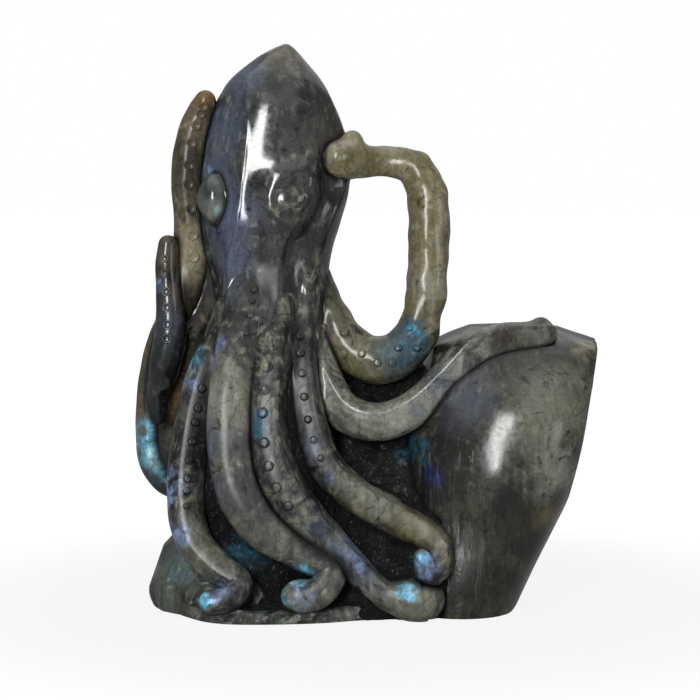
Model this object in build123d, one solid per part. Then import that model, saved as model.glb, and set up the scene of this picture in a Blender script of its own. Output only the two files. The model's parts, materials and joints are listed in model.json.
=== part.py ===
"""Carved stone octopus on a natural rock, built as separate carved forms in millimetres.

+X is the figure's right as it is looked at, +Y runs away from the viewer and +Z is up.
The origin is at the centre of the figure's box, on the plane that it stands on.
"""

import math
import os

from build123d import *

# Overall sizes of the figure, which every place below is a share of
FIGURE_WIDTH = 150.0
FIGURE_DEPTH = 78.0
FIGURE_HEIGHT = 180.0

# Body of the octopus
MANTLE_WIDTH = 47.0
MANTLE_DEPTH = 43.0
WEB_WIDTH = 58.0
WEB_DEPTH = 56.0
SIDE_WEB_WIDTH = 20.0
SIDE_WEB_DEPTH = 6.5
EYE_WIDTH = 9.0
EYE_HEIGHT = 15.0
EYE_BULGE = 9.0

# Thickness of each arm across its fullest run
RAISED_ARM_THICKNESS = 10.4
SHORT_ARM_THICKNESS = 10.6
FRONT_LEFT_ARM_THICKNESS = 11.6
FRONT_MIDDLE_ARM_THICKNESS = 13.6
FRONT_CENTRE_ARM_THICKNESS = 13.6
FRONT_RIGHT_ARM_THICKNESS = 11.0
BOULDER_ARM_THICKNESS = 12.6
LOOP_ARM_THICKNESS = 15.6

# Suckers
SUCKER_HEIGHT = 0.8
SUCKER_ROOT = 2.4
SUCKER_DIMPLE = 0.5

# Rock
BOULDER_WIDTH = 60.0
BOULDER_DEPTH = 70.0
BOULDER_HEIGHT = 89.0
PLINTH_THICKNESS = 4.0
SADDLE_WIDTH = 64.0
SADDLE_DEPTH = 60.0
SADDLE_HEIGHT = 75.0
HEEL_WIDTH = 44.0
HEEL_DEPTH = 56.0
HEEL_HEIGHT = 27.0

# Mantle and head, from the neck up: height, place across, place back, width and depth
MANTLE_SECTION_SHARES = [
    (0.450, -0.210, 0.00, 0.56, 0.60),
    (0.510, -0.208, 0.01, 0.70, 0.75),
    (0.572, -0.206, 0.02, 0.77, 0.82),
    (0.635, -0.208, 0.02, 0.85, 0.86),
    (0.680, -0.202, 0.02, 0.94, 0.92),
    (0.734, -0.194, 0.03, 1.00, 0.98),
    (0.787, -0.190, 0.03, 0.99, 1.00),
    (0.850, -0.190, 0.04, 0.91, 0.93),
    (0.904, -0.193, 0.04, 0.77, 0.78),
    (0.940, -0.192, 0.04, 0.61, 0.62),
    (0.975, -0.184, 0.05, 0.33, 0.34),
    (0.992, -0.175, 0.05, 0.15, 0.16),
    (1.000, -0.170, 0.05, 0.04, 0.04),
]
# Height at which the mantle ends and the head begins
BROW_HEIGHT_SHARE = 0.787

# Web between the arms, from the plinth up
WEB_SECTION_SHARES = [
    (0.005, -0.200, 0.02, 0.96, 0.86),
    (0.080, -0.200, 0.00, 1.00, 0.92),
    (0.200, -0.207, -0.02, 0.94, 1.00),
    (0.330, -0.215, -0.02, 0.80, 0.96),
    (0.450, -0.212, -0.01, 0.66, 0.82),
    (0.560, -0.207, 0.01, 0.52, 0.62),
]
# Stone left standing between the raised arm and the body, from the arm's bow up
SIDE_WEB_SECTION_SHARES = [
    (0.200, -0.413, 0.10, 0.70, 0.80),
    (0.280, -0.417, 0.10, 0.92, 1.00),
    (0.360, -0.410, 0.10, 0.98, 1.00),
    (0.440, -0.391, 0.10, 1.05, 1.00),
    (0.520, -0.360, 0.10, 1.05, 1.00),
    (0.600, -0.353, 0.09, 0.75, 0.95),
    (0.670, -0.353, 0.08, 0.50, 0.80),
]

# Eyes: height on the head, and the way each one looks in degrees round from +X
EYE_HEIGHT_SHARE = 0.728
EYE_FACINGS = {"left_eye": -157.0, "right_eye": -70.0}

# Arms from root to tip: place across, back and up, and thickness
RAISED_ARM_SHARES = [
    (-0.330, 0.09, 0.235, 0.94),
    (-0.385, 0.10, 0.210, 0.94),
    (-0.430, 0.10, 0.213, 0.90),
    (-0.464, 0.10, 0.252, 0.86),
    (-0.472, 0.10, 0.316, 0.82),
    (-0.466, 0.10, 0.388, 0.82),
    (-0.444, 0.10, 0.466, 0.86),
    (-0.409, 0.09, 0.542, 0.94),
    (-0.387, 0.08, 0.618, 0.98),
    (-0.382, 0.06, 0.696, 1.00),
    (-0.383, 0.05, 0.768, 0.98),
    (-0.374, 0.04, 0.834, 0.90),
    (-0.354, 0.03, 0.880, 0.78),
    (-0.343, 0.02, 0.900, 0.66),
]
SHORT_ARM_SHARES = [
    (-0.446, 0.06, 0.300, 0.36),
    (-0.450, 0.05, 0.350, 0.50),
    (-0.443, 0.03, 0.392, 0.76),
    (-0.430, 0.01, 0.436, 0.96),
    (-0.421, 0.01, 0.478, 1.00),
    (-0.420, 0.01, 0.520, 0.86),
    (-0.424, 0.01, 0.566, 0.72),
    (-0.427, 0.01, 0.612, 0.66),
    (-0.425, 0.01, 0.645, 0.58),
]
FRONT_LEFT_ARM_SHARES = [
    (-0.290, -0.04, 0.540, 0.72),
    (-0.312, -0.10, 0.480, 0.84),
    (-0.342, -0.16, 0.422, 0.92),
    (-0.364, -0.21, 0.341, 0.98),
    (-0.378, -0.26, 0.260, 1.00),
    (-0.379, -0.30, 0.189, 1.00),
    (-0.358, -0.34, 0.131, 0.98),
    (-0.312, -0.38, 0.092, 0.92),
    (-0.266, -0.41, 0.066, 0.82),
]
FRONT_LEFT_FOOT_SHARES = [
    (-0.285, -0.45, 0.042, 0.72),
    (-0.322, -0.46, 0.037, 0.66),
]
FRONT_MIDDLE_ARM_SHARES = [
    (-0.240, -0.07, 0.645, 0.56),
    (-0.246, -0.15, 0.600, 0.66),
    (-0.256, -0.22, 0.545, 0.78),
    (-0.272, -0.29, 0.478, 0.92),
    (-0.284, -0.35, 0.391, 0.97),
    (-0.284, -0.39, 0.298, 1.00),
    (-0.262, -0.42, 0.217, 1.00),
    (-0.209, -0.43, 0.159, 0.96),
    (-0.141, -0.42, 0.123, 0.86),
    (-0.080, -0.42, 0.092, 0.76),
]
FRONT_MIDDLE_FOOT_SHARES = [
    (-0.092, -0.46, 0.056, 0.72),
    (-0.142, -0.46, 0.046, 0.76),
]
FRONT_CENTRE_ARM_SHARES = [
    (-0.194, -0.08, 0.610, 0.50),
    (-0.190, -0.16, 0.560, 0.58),
    (-0.188, -0.24, 0.510, 0.68),
    (-0.197, -0.31, 0.440, 0.74),
    (-0.204, -0.37, 0.348, 0.84),
    (-0.183, -0.40, 0.255, 1.00),
    (-0.127, -0.41, 0.182, 1.00),
    (-0.058, -0.40, 0.123, 0.82),
    (-0.004, -0.41, 0.078, 0.66),
    (0.038, -0.42, 0.046, 0.62),
    (0.080, -0.42, 0.036, 0.84),
    (0.110, -0.42, 0.035, 0.92),
    (0.122, -0.42, 0.036, 0.86),
]
FRONT_RIGHT_ARM_SHARES = [
    (-0.165, -0.05, 0.610, 0.58),
    (-0.150, -0.11, 0.560, 0.66),
    (-0.137, -0.18, 0.505, 0.78),
    (-0.132, -0.24, 0.438, 0.84),
    (-0.117, -0.29, 0.344, 0.94),
    (-0.081, -0.31, 0.267, 1.00),
    (-0.013, -0.32, 0.210, 1.00),
    (0.064, -0.32, 0.175, 0.98),
    (0.120, -0.34, 0.150, 0.92),
    (0.156, -0.36, 0.124, 0.82),
]
FRONT_RIGHT_CURL_SHARES = [
    (0.154, -0.41, 0.094, 0.72),
    (0.128, -0.45, 0.088, 0.66),
    (0.116, -0.47, 0.112, 0.58),
]
# Height of the arm that lies on the boulder is a share of the boulder's
BOULDER_ARM_SHARES = [
    (-0.135, -0.02, 1.060, 0.80),
    (-0.115, -0.07, 0.965, 0.86),
    (-0.090, -0.13, 0.830, 0.94),
    (-0.044, -0.18, 0.714, 1.00),
    (0.030, -0.20, 0.681, 1.00),
    (0.104, -0.20, 0.732, 0.94),
    (0.167, -0.19, 0.830, 0.88),
    (0.221, -0.16, 0.926, 0.92),
    (0.281, -0.12, 0.972, 0.98),
    (0.340, -0.09, 0.980, 0.92),
    (0.372, -0.08, 0.990, 0.80),
]
LOOP_ARM_SHARES = [
    (-0.150, 0.03, 0.660, 0.66),
    (-0.122, 0.03, 0.612, 0.70),
    (-0.094, 0.01, 0.545, 0.78),
    (-0.054, -0.03, 0.482, 0.92),
    (0.001, -0.06, 0.444, 1.00),
    (0.062, -0.06, 0.446, 1.00),
    (0.109, -0.04, 0.484, 0.86),
    (0.128, -0.01, 0.545, 0.85),
    (0.136, 0.00, 0.617, 0.85),
    (0.136, 0.01, 0.689, 0.84),
    (0.130, 0.02, 0.742, 0.80),
    (0.101, 0.02, 0.780, 0.74),
    (0.056, 0.03, 0.792, 0.66),
    (0.005, 0.03, 0.792, 0.64),
    (-0.036, 0.03, 0.800, 0.70),
]

# Each arm's thickness, the height that its places are shares of, its run and its curled end
ARMS = {
    "front_middle_arm": (
        FRONT_MIDDLE_ARM_THICKNESS,
        FIGURE_HEIGHT,
        FRONT_MIDDLE_ARM_SHARES,
        FRONT_MIDDLE_FOOT_SHARES,
    ),
    "front_left_arm": (
        FRONT_LEFT_ARM_THICKNESS,
        FIGURE_HEIGHT,
        FRONT_LEFT_ARM_SHARES,
        FRONT_LEFT_FOOT_SHARES,
    ),
    "front_centre_arm": (FRONT_CENTRE_ARM_THICKNESS, FIGURE_HEIGHT, FRONT_CENTRE_ARM_SHARES, []),
    "front_right_arm": (
        FRONT_RIGHT_ARM_THICKNESS,
        FIGURE_HEIGHT,
        FRONT_RIGHT_ARM_SHARES,
        FRONT_RIGHT_CURL_SHARES,
    ),
    "loop_arm": (LOOP_ARM_THICKNESS, FIGURE_HEIGHT, LOOP_ARM_SHARES, []),
    "boulder_arm": (BOULDER_ARM_THICKNESS, BOULDER_HEIGHT, BOULDER_ARM_SHARES, []),
    "raised_left_arm": (RAISED_ARM_THICKNESS, FIGURE_HEIGHT, RAISED_ARM_SHARES, []),
    "short_left_arm": (SHORT_ARM_THICKNESS, FIGURE_HEIGHT, SHORT_ARM_SHARES, []),
}
# A round tip's radius and its place past the last station, as shares of the arm's radius there
TIP_RADIUS_SHARE = 1.06
TIP_PLACE_SHARE = 0.15
# Thickness at which a curled end leaves the end of its arm
CURL_ROOT_SHARE = 0.90

# Suckers of each arm: first and last place along it, count, the way they face and their diameter
SUCKERS = {
    "raised_left_arm": (0.62, 0.97, 9, -80.0, 4.2),
    "short_left_arm": (0.55, 0.95, 6, -95.0, 3.6),
    "front_left_arm": (0.30, 0.62, 8, -84.0, 3.6),
    "front_middle_arm": (0.20, 0.38, 5, -66.0, 2.6),
    "front_centre_arm": (0.22, 0.47, 8, -112.0, 4.4),
    "front_right_arm": (0.30, 0.50, 6, -84.0, 3.4),
    "loop_arm": (0.20, 0.42, 6, -95.0, 4.4),
}
# Share of a sucker that has to stand clear of the body for the carver to have cut it
CLEAR_SHARE = 0.75

# Rock forms, from the ground up: height, place across, place back, width and depth
BOULDER_SECTION_SHARES = [
    (0.00, 0.190, -0.02, 0.58, 0.84),
    (0.22, 0.225, 0.00, 0.80, 0.94),
    (0.50, 0.265, 0.02, 0.98, 1.00),
    (0.73, 0.296, 0.06, 1.00, 0.94),
    (0.88, 0.320, 0.11, 0.97, 0.81),
    (0.95, 0.326, 0.14, 0.90, 0.68),
    (1.00, 0.322, 0.16, 0.50, 0.36),
]
# Flat sawn face on the boulder's right: place across and reach of its upper edge, and its lean
SAWN_EDGE_SHARES = (0.326, 0.43, 0.94)
SAWN_FACE_LEAN = 12.5
SADDLE_SECTION_SHARES = [
    (0.00, 0.030, 0.00, 1.00, 1.00),
    (0.35, 0.030, 0.05, 0.94, 0.90),
    (0.65, 0.036, 0.10, 0.82, 0.72),
    (0.86, 0.026, 0.14, 0.66, 0.50),
    (1.00, 0.020, 0.17, 0.40, 0.28),
]
HEEL_SECTION_SHARES = [
    (0.00, -0.315, -0.02, 1.00, 1.00),
    (0.40, -0.310, 0.00, 0.93, 0.92),
    (0.76, -0.292, 0.03, 0.68, 0.70),
    (1.00, -0.272, 0.05, 0.32, 0.36),
]
PLINTH_OUTLINE_SHARES = [
    (-0.455, -0.10),
    (-0.400, -0.36),
    (-0.290, -0.50),
    (-0.120, -0.49),
    (0.000, -0.41),
    (0.120, -0.37),
    (0.250, -0.40),
    (0.310, -0.20),
    (0.270, 0.30),
    (0.060, 0.44),
    (-0.240, 0.43),
    (-0.420, 0.24),
]
# A rock's outline in plan, round from its right side
ROCK_OUTLINE_SHARES = [
    (1.00, 0.00),
    (0.82, 0.68),
    (0.30, 0.98),
    (-0.40, 0.94),
    (-0.88, 0.60),
    (-1.00, -0.05),
    (-0.80, -0.70),
    (-0.28, -1.00),
    (0.38, -0.95),
    (0.86, -0.62),
]

BACK = Vector(0, 1, 0)
UP = Vector(0, 0, 1)


def place(across_share, back_share, height):
    """A point of the figure from its shares and its height."""
    return Vector(across_share * FIGURE_WIDTH, back_share * FIGURE_DEPTH, height)


def largest(shape):
    """The main solid of a cut, without the crumbs that the cut leaves, or nothing."""
    return max(shape.solids(), key=lambda solid: solid.volume, default=None)


def oval_loft(section_shares, height, width, depth):
    """A smooth solid through level ovals."""
    ovals = []
    for up_share, across_share, back_share, width_share, depth_share in section_shares:
        level = Plane(place(across_share, back_share, up_share * height))
        ovals.append(Wire([Edge.make_ellipse(width_share * width / 2, depth_share * depth / 2, level)]))
    return Solid.make_loft(ovals)


def rock_loft(section_shares, height, width, depth):
    """A smooth boulder through level outlines that are a little uneven."""
    outlines = []
    for up_share, across_share, back_share, width_share, depth_share in section_shares:
        centre = place(across_share, back_share, up_share * height)
        half_width, half_depth = width_share * width / 2, depth_share * depth / 2
        points = [centre + Vector(x * half_width, y * half_depth) for x, y in ROCK_OUTLINE_SHARES]
        outlines.append(Wire([Edge.make_spline(points, periodic=True)]))
    return Solid.make_loft(outlines)


def strand_stations(thickness, height, strand_shares):
    """Centres, directions and radii along one strand of an arm."""
    centres = [place(across, back, up * height) for across, back, up, _ in strand_shares]
    radii = [share * thickness / 2 for *_, share in strand_shares]
    last = len(centres) - 1
    directions = []
    for i in range(len(centres)):
        directions.append((centres[min(i + 1, last)] - centres[max(i - 1, 0)]).normalized())
    return centres, directions, radii


def strand_solid(thickness, height, strand_shares):
    """A smooth tube whose thickness follows its stations, with a round tip."""
    centres, directions, radii = strand_stations(thickness, height, strand_shares)
    rings = []
    for centre, way, radius in zip(centres, directions, radii):
        rings.append(Wire.make_circle(radius, Plane(centre, x_dir=way.cross(BACK), z_dir=way)))
    middle = centres[-1] + directions[-1] * (TIP_PLACE_SHARE * radii[-1])
    tip = Solid.make_sphere(TIP_RADIUS_SHARE * radii[-1]).moved(Location(middle))
    return largest(Solid.make_loft(rings).fuse(tip))


def arm_solid(name):
    """One arm: its run, and the curled end that leaves the end of it."""
    thickness, height, run_shares, curl_shares = ARMS[name]
    arm = strand_solid(thickness, height, run_shares)
    if curl_shares:
        across, back, up, size = run_shares[-1]
        root_shares = (across, back, up, size * CURL_ROOT_SHARE)
        arm = largest(arm.fuse(strand_solid(thickness, height, [root_shares] + curl_shares)))
    return arm


def station_at(name, share):
    """Centre, direction and radius at a share of an arm's stations."""
    thickness, height, run_shares, _ = ARMS[name]
    centres, directions, radii = strand_stations(thickness, height, run_shares)
    last = len(centres) - 1
    index = min(int(share * last), last - 1)
    rest = share * last - index
    centre = centres[index] + (centres[index + 1] - centres[index]) * rest
    way = (directions[index] + (directions[index + 1] - directions[index]) * rest).normalized()
    return centre, way, radii[index] + (radii[index + 1] - radii[index]) * rest


def sucker_solids(name):
    """The row of dimpled suckers that stands on one arm, facing the same way all along."""
    first, last, count, facing, diameter = SUCKERS[name]
    across = Vector(math.cos(math.radians(facing)), math.sin(math.radians(facing)), 0)
    length = SUCKER_ROOT + SUCKER_HEIGHT
    solids = []
    for i in range(count):
        centre, way, radius = station_at(name, first + (last - first) * i / (count - 1))
        out = (across - way * across.dot(way)).normalized()
        foot = Plane(centre + out * (radius - SUCKER_ROOT), z_dir=out)
        cup = Solid.make_cone(diameter / 2, (diameter - SUCKER_HEIGHT) / 2, length, foot)
        floor = Plane(foot.origin + out * (length - SUCKER_DIMPLE), z_dir=out)
        solids.append(cup - Solid.make_cone(0, diameter / 4, SUCKER_DIMPLE, floor))
    return solids


def section_at(section_shares, up_share):
    """Place and size shares of an oval body at a height between its sections."""
    for low, high in zip(section_shares, section_shares[1:]):
        if low[0] <= up_share <= high[0]:
            rest = (up_share - low[0]) / (high[0] - low[0])
            return [a + (b - a) * rest for a, b in zip(low, high)]
    raise ValueError("no section at this height")


def eye_solid(name):
    """An upright bead that swells out of the head."""
    up, across, back, width, depth = section_at(MANTLE_SECTION_SHARES, EYE_HEIGHT_SHARE)
    facing = math.radians(EYE_FACINGS[name])
    reach = Vector(math.cos(facing) * width * MANTLE_WIDTH / 2, math.sin(facing) * depth * MANTLE_DEPTH / 2)
    bead = scale(Solid.make_sphere(1), by=(EYE_BULGE / 2, EYE_WIDTH / 2, EYE_HEIGHT / 2))
    centre = place(across, back, up * FIGURE_HEIGHT) + reach
    return bead.moved(Location(centre, (0, 0, EYE_FACINGS[name])))


def plinth_solid():
    """The flat slab that the feet stand on."""
    points = [place(across, back, 0) for across, back in PLINTH_OUTLINE_SHARES]
    outline = Wire([Edge.make_spline(points, periodic=True)])
    return Solid.extrude(Face(outline), UP * PLINTH_THICKNESS)


def boulder_solid():
    """The boulder, with the flat face that it was sawn along."""
    rock = rock_loft(BOULDER_SECTION_SHARES, BOULDER_HEIGHT, BOULDER_WIDTH, BOULDER_DEPTH)
    across, reach, up = SAWN_EDGE_SHARES
    edge = place(across, 0, up * BOULDER_HEIGHT) + Vector(reach * BOULDER_WIDTH)
    lean = math.radians(SAWN_FACE_LEAN)
    return largest(split(rock, Plane(edge, z_dir=(math.cos(lean), 0, -math.sin(lean))), keep=Keep.BOTTOM))


def boxes_meet(one, other):
    """Whether two boxes overlap."""
    return all(
        low_one <= high_other and low_other <= high_one
        for low_one, high_one, low_other, high_other in zip(one.min, one.max, other.min, other.max)
    )


def carve(pieces, name, solid):
    """Adds a piece to the figure, with what the earlier pieces hold cut out of it."""
    box = solid.bounding_box(optimal=False)
    for tool, tool_box in list(pieces.values()):
        if boxes_meet(box, tool_box):
            solid = largest(solid.cut(tool))
    pieces[name] = (solid, box)


def sucker_row(pieces, name):
    """One arm's suckers that stand clear of the body, with what the arm and body hold cut out."""
    row = []
    for sucker in sucker_solids(name):
        sucker = largest(sucker.cut(pieces[name][0]))
        box = sucker.bounding_box(optimal=False)
        kept = sucker
        for tool, tool_box in (pieces["arm_web"], pieces["head"]):
            if kept and boxes_meet(box, tool_box):
                kept = largest(kept.cut(tool))
        if kept and kept.volume > CLEAR_SHARE * sucker.volume:
            row.append(kept)
    return row


def build():
    """All pieces of the figure by name, each one a list of solids."""
    body = oval_loft(MANTLE_SECTION_SHARES, FIGURE_HEIGHT, MANTLE_WIDTH, MANTLE_DEPTH)
    brow = Plane((0, 0, BROW_HEIGHT_SHARE * FIGURE_HEIGHT))
    mantle = largest(split(body, brow, keep=Keep.TOP))
    head = largest(split(body, brow, keep=Keep.BOTTOM))
    pieces = {
        "mantle": (mantle, mantle.bounding_box(optimal=False)),
        "head": (head, head.bounding_box(optimal=False)),
    }
    carve(pieces, "boulder", boulder_solid())
    carve(pieces, "rock_plinth", plinth_solid())
    carve(pieces, "arm_web", oval_loft(WEB_SECTION_SHARES, FIGURE_HEIGHT, WEB_WIDTH, WEB_DEPTH))
    carve(pieces, "rock_saddle", rock_loft(SADDLE_SECTION_SHARES, SADDLE_HEIGHT, SADDLE_WIDTH, SADDLE_DEPTH))
    carve(pieces, "rock_heel", rock_loft(HEEL_SECTION_SHARES, HEEL_HEIGHT, HEEL_WIDTH, HEEL_DEPTH))
    for name in EYE_FACINGS:
        carve(pieces, name, eye_solid(name))
    for name in ARMS:
        carve(pieces, name, arm_solid(name))
    carve(pieces, "side_web", oval_loft(SIDE_WEB_SECTION_SHARES, FIGURE_HEIGHT, SIDE_WEB_WIDTH, SIDE_WEB_DEPTH))
    groups = {name: [solid] for name, (solid, _) in pieces.items()}
    for name in SUCKERS:
        groups[name + "_suckers"] = sucker_row(pieces, name)
    return groups


def main():
    """Writes every piece, with the figure's box centred on the origin."""
    os.makedirs("parts", exist_ok=True)
    groups = build()
    box = Compound([solid for solids in groups.values() for solid in solids]).bounding_box()
    middle = (box.min + box.max) / 2
    home = Location((-middle.X, -middle.Y, -box.min.Z))
    print("box", box.size, "moved", home.position)
    for name, solids in groups.items():
        placed = [solid.moved(home) for solid in solids]
        export_step(placed[0] if len(placed) == 1 else Compound(placed), f"parts/{name}.step")


main()
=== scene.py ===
"""Looks of the carved stone octopus: polished arms, mantle and boulder, rough rock and blue flash."""

import json
import math

import bmesh
import bpy
from bpy.props import FloatProperty, FloatVectorProperty, PointerProperty
from mathutils import Matrix, Vector, noise
from mathutils.bvhtree import BVHTree

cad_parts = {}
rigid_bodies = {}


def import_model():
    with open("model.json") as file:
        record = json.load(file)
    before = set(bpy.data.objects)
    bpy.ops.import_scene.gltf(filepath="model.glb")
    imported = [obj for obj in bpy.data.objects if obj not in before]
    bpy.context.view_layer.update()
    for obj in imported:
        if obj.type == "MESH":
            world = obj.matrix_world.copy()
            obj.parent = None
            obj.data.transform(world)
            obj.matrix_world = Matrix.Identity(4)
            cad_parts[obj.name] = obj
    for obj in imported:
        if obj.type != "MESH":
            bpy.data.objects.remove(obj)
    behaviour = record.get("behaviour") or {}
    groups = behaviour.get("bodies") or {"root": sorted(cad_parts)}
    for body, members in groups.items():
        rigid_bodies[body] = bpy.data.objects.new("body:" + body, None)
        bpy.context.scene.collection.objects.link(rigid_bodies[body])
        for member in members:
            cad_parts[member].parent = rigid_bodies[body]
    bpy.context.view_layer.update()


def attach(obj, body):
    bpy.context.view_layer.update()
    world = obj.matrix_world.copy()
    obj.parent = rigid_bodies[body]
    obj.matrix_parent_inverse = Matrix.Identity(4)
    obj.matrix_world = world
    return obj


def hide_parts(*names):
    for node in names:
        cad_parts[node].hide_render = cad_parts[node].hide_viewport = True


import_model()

bl_info = {
    "name": "Carved Stone Octopus",
    "version": (1, 0, 0),
    "blender": (4, 5, 0),
    "location": "3D View > Sidebar > Carving",
    "description": "Builds a polished stone octopus on its rock, form by form",
    "category": "Add Mesh",
}

FRONT = Vector((0.0, -1.0, 0.0))
# The figure's middle lies this far behind the place that the shares below count from
BACK_SHIFT = 0.0016
# Spots and patches are given in this unit; a spot reaches this many times its radius
MILLIMETRE = 0.001
SPOT_REACH = 2.5

# Mantle and head, from the neck up: height, place across, place back, width and depth
MANTLE_SECTION_SHARES = [
    (0.450, -0.210, -0.05, 0.56, 0.72),
    (0.510, -0.208, -0.04, 0.70, 0.84),
    (0.550, -0.207, -0.01, 0.75, 0.77),
    (0.595, -0.207, 0.01, 0.80, 0.77),
    (0.640, -0.207, 0.02, 0.87, 0.89),
    (0.680, -0.202, 0.02, 0.94, 0.97),
    (0.734, -0.194, 0.03, 1.00, 1.00),
    (0.787, -0.190, 0.03, 0.99, 0.98),
    (0.850, -0.190, 0.04, 0.91, 0.91),
    (0.904, -0.193, 0.04, 0.77, 0.77),
    (0.940, -0.192, 0.04, 0.61, 0.62),
    (0.975, -0.184, 0.05, 0.33, 0.34),
    (0.992, -0.175, 0.05, 0.15, 0.16),
    (1.000, -0.170, 0.05, 0.03, 0.03),
]
# Lines of the face up the head: height, the sharp crease's angle and the right ridge's angle
FACE_LINES = [
    (0.50, -48.0, 4.0),
    (0.61, -41.0, 12.0),
    (0.66, -30.0, 16.0),
    (0.71, -28.0, 21.0),
    (0.75, -27.0, 31.0),
    (0.84, -25.0, 38.0),
    (0.93, -30.0, 40.0),
    (1.00, -30.0, 40.0),
]
# Heights between which the face is cut, and how much height a cut takes to reach its full depth there
FACE_FOOT_SHARE = 0.46
FACE_FOOT_RUN_SHARE = 0.10
FACE_TOP_SHARE = 0.96
FACE_TOP_RUN_SHARE = 0.16
# Panels left of the crease, between the lines and right of the ridge: outer ones' angles, and depths
LEFT_PANEL_ANGLE = 58.0
RIGHT_PANEL_ANGLE = 40.0
PANEL_DEPTH_SHARES = (1.5, 1.15, 2.0)
PANEL_ROUNDING = 0.8
# The raised edge along the crease: its share of the cut's depth, and its angle
CREASE_SHARE = 0.12
CREASE_ANGLE = 2.0
# Spots of the brow, the cheek and the neck that are raised or sunk: place, radius and height
MANTLE_SPOTS = [
    ((-26.0, -20.0, 133.0), 8.5, 1.6),
    ((-16.5, -15.0, 118.0), 4.0, -3.0),
    ((-14.0, -15.0, 126.5), 4.0, -1.4),
    ((-19.0, -17.0, 109.0), 4.0, -1.6),
    ((-7.5, -9.0, 129.0), 6.0, 1.0),
]

# Eyes: the angle that each one faces, how far out it sits, half its depth, width and height, and its stone
EYES = {
    "left_eye": (-150.0, 0.96, (0.0048, 0.0056, 0.0078), "eye stone"),
    "right_eye": (-73.0, 0.90, (0.0030, 0.0056, 0.0054), "mantle stone"),
}
EYE_HEIGHT_SHARE = 0.728
# How much an eye narrows above and below, and how suddenly
EYE_NARROWING_SHARE = 0.30
EYE_NARROWING_POWER = 1.8

# Web between the arms, from the base up
WEB_SECTION_SHARES = [
    (0.005, -0.200, 0.02, 0.96, 0.86),
    (0.080, -0.200, 0.00, 1.00, 0.92),
    (0.200, -0.207, -0.02, 0.94, 1.00),
    (0.330, -0.215, -0.02, 0.80, 0.96),
    (0.450, -0.212, -0.01, 0.66, 0.82),
    (0.520, -0.207, 0.01, 0.50, 0.62),
    (0.590, -0.207, 0.02, 0.30, 0.38),
]
# The web's skin has this share of its width and depth
WEB_SKIN_SHARE = 0.995

# Stone left standing between the raised arm and the body, from the arm's bow up
SIDE_WEB_SECTION_SHARES = [
    (0.200, -0.413, 0.10, 0.70, 0.80),
    (0.280, -0.417, 0.10, 0.92, 1.00),
    (0.360, -0.410, 0.10, 0.98, 1.00),
    (0.440, -0.391, 0.10, 1.05, 1.00),
    (0.520, -0.360, 0.10, 1.05, 1.00),
    (0.600, -0.353, 0.09, 0.75, 0.95),
    (0.670, -0.353, 0.08, 0.50, 0.80),
]

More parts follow.
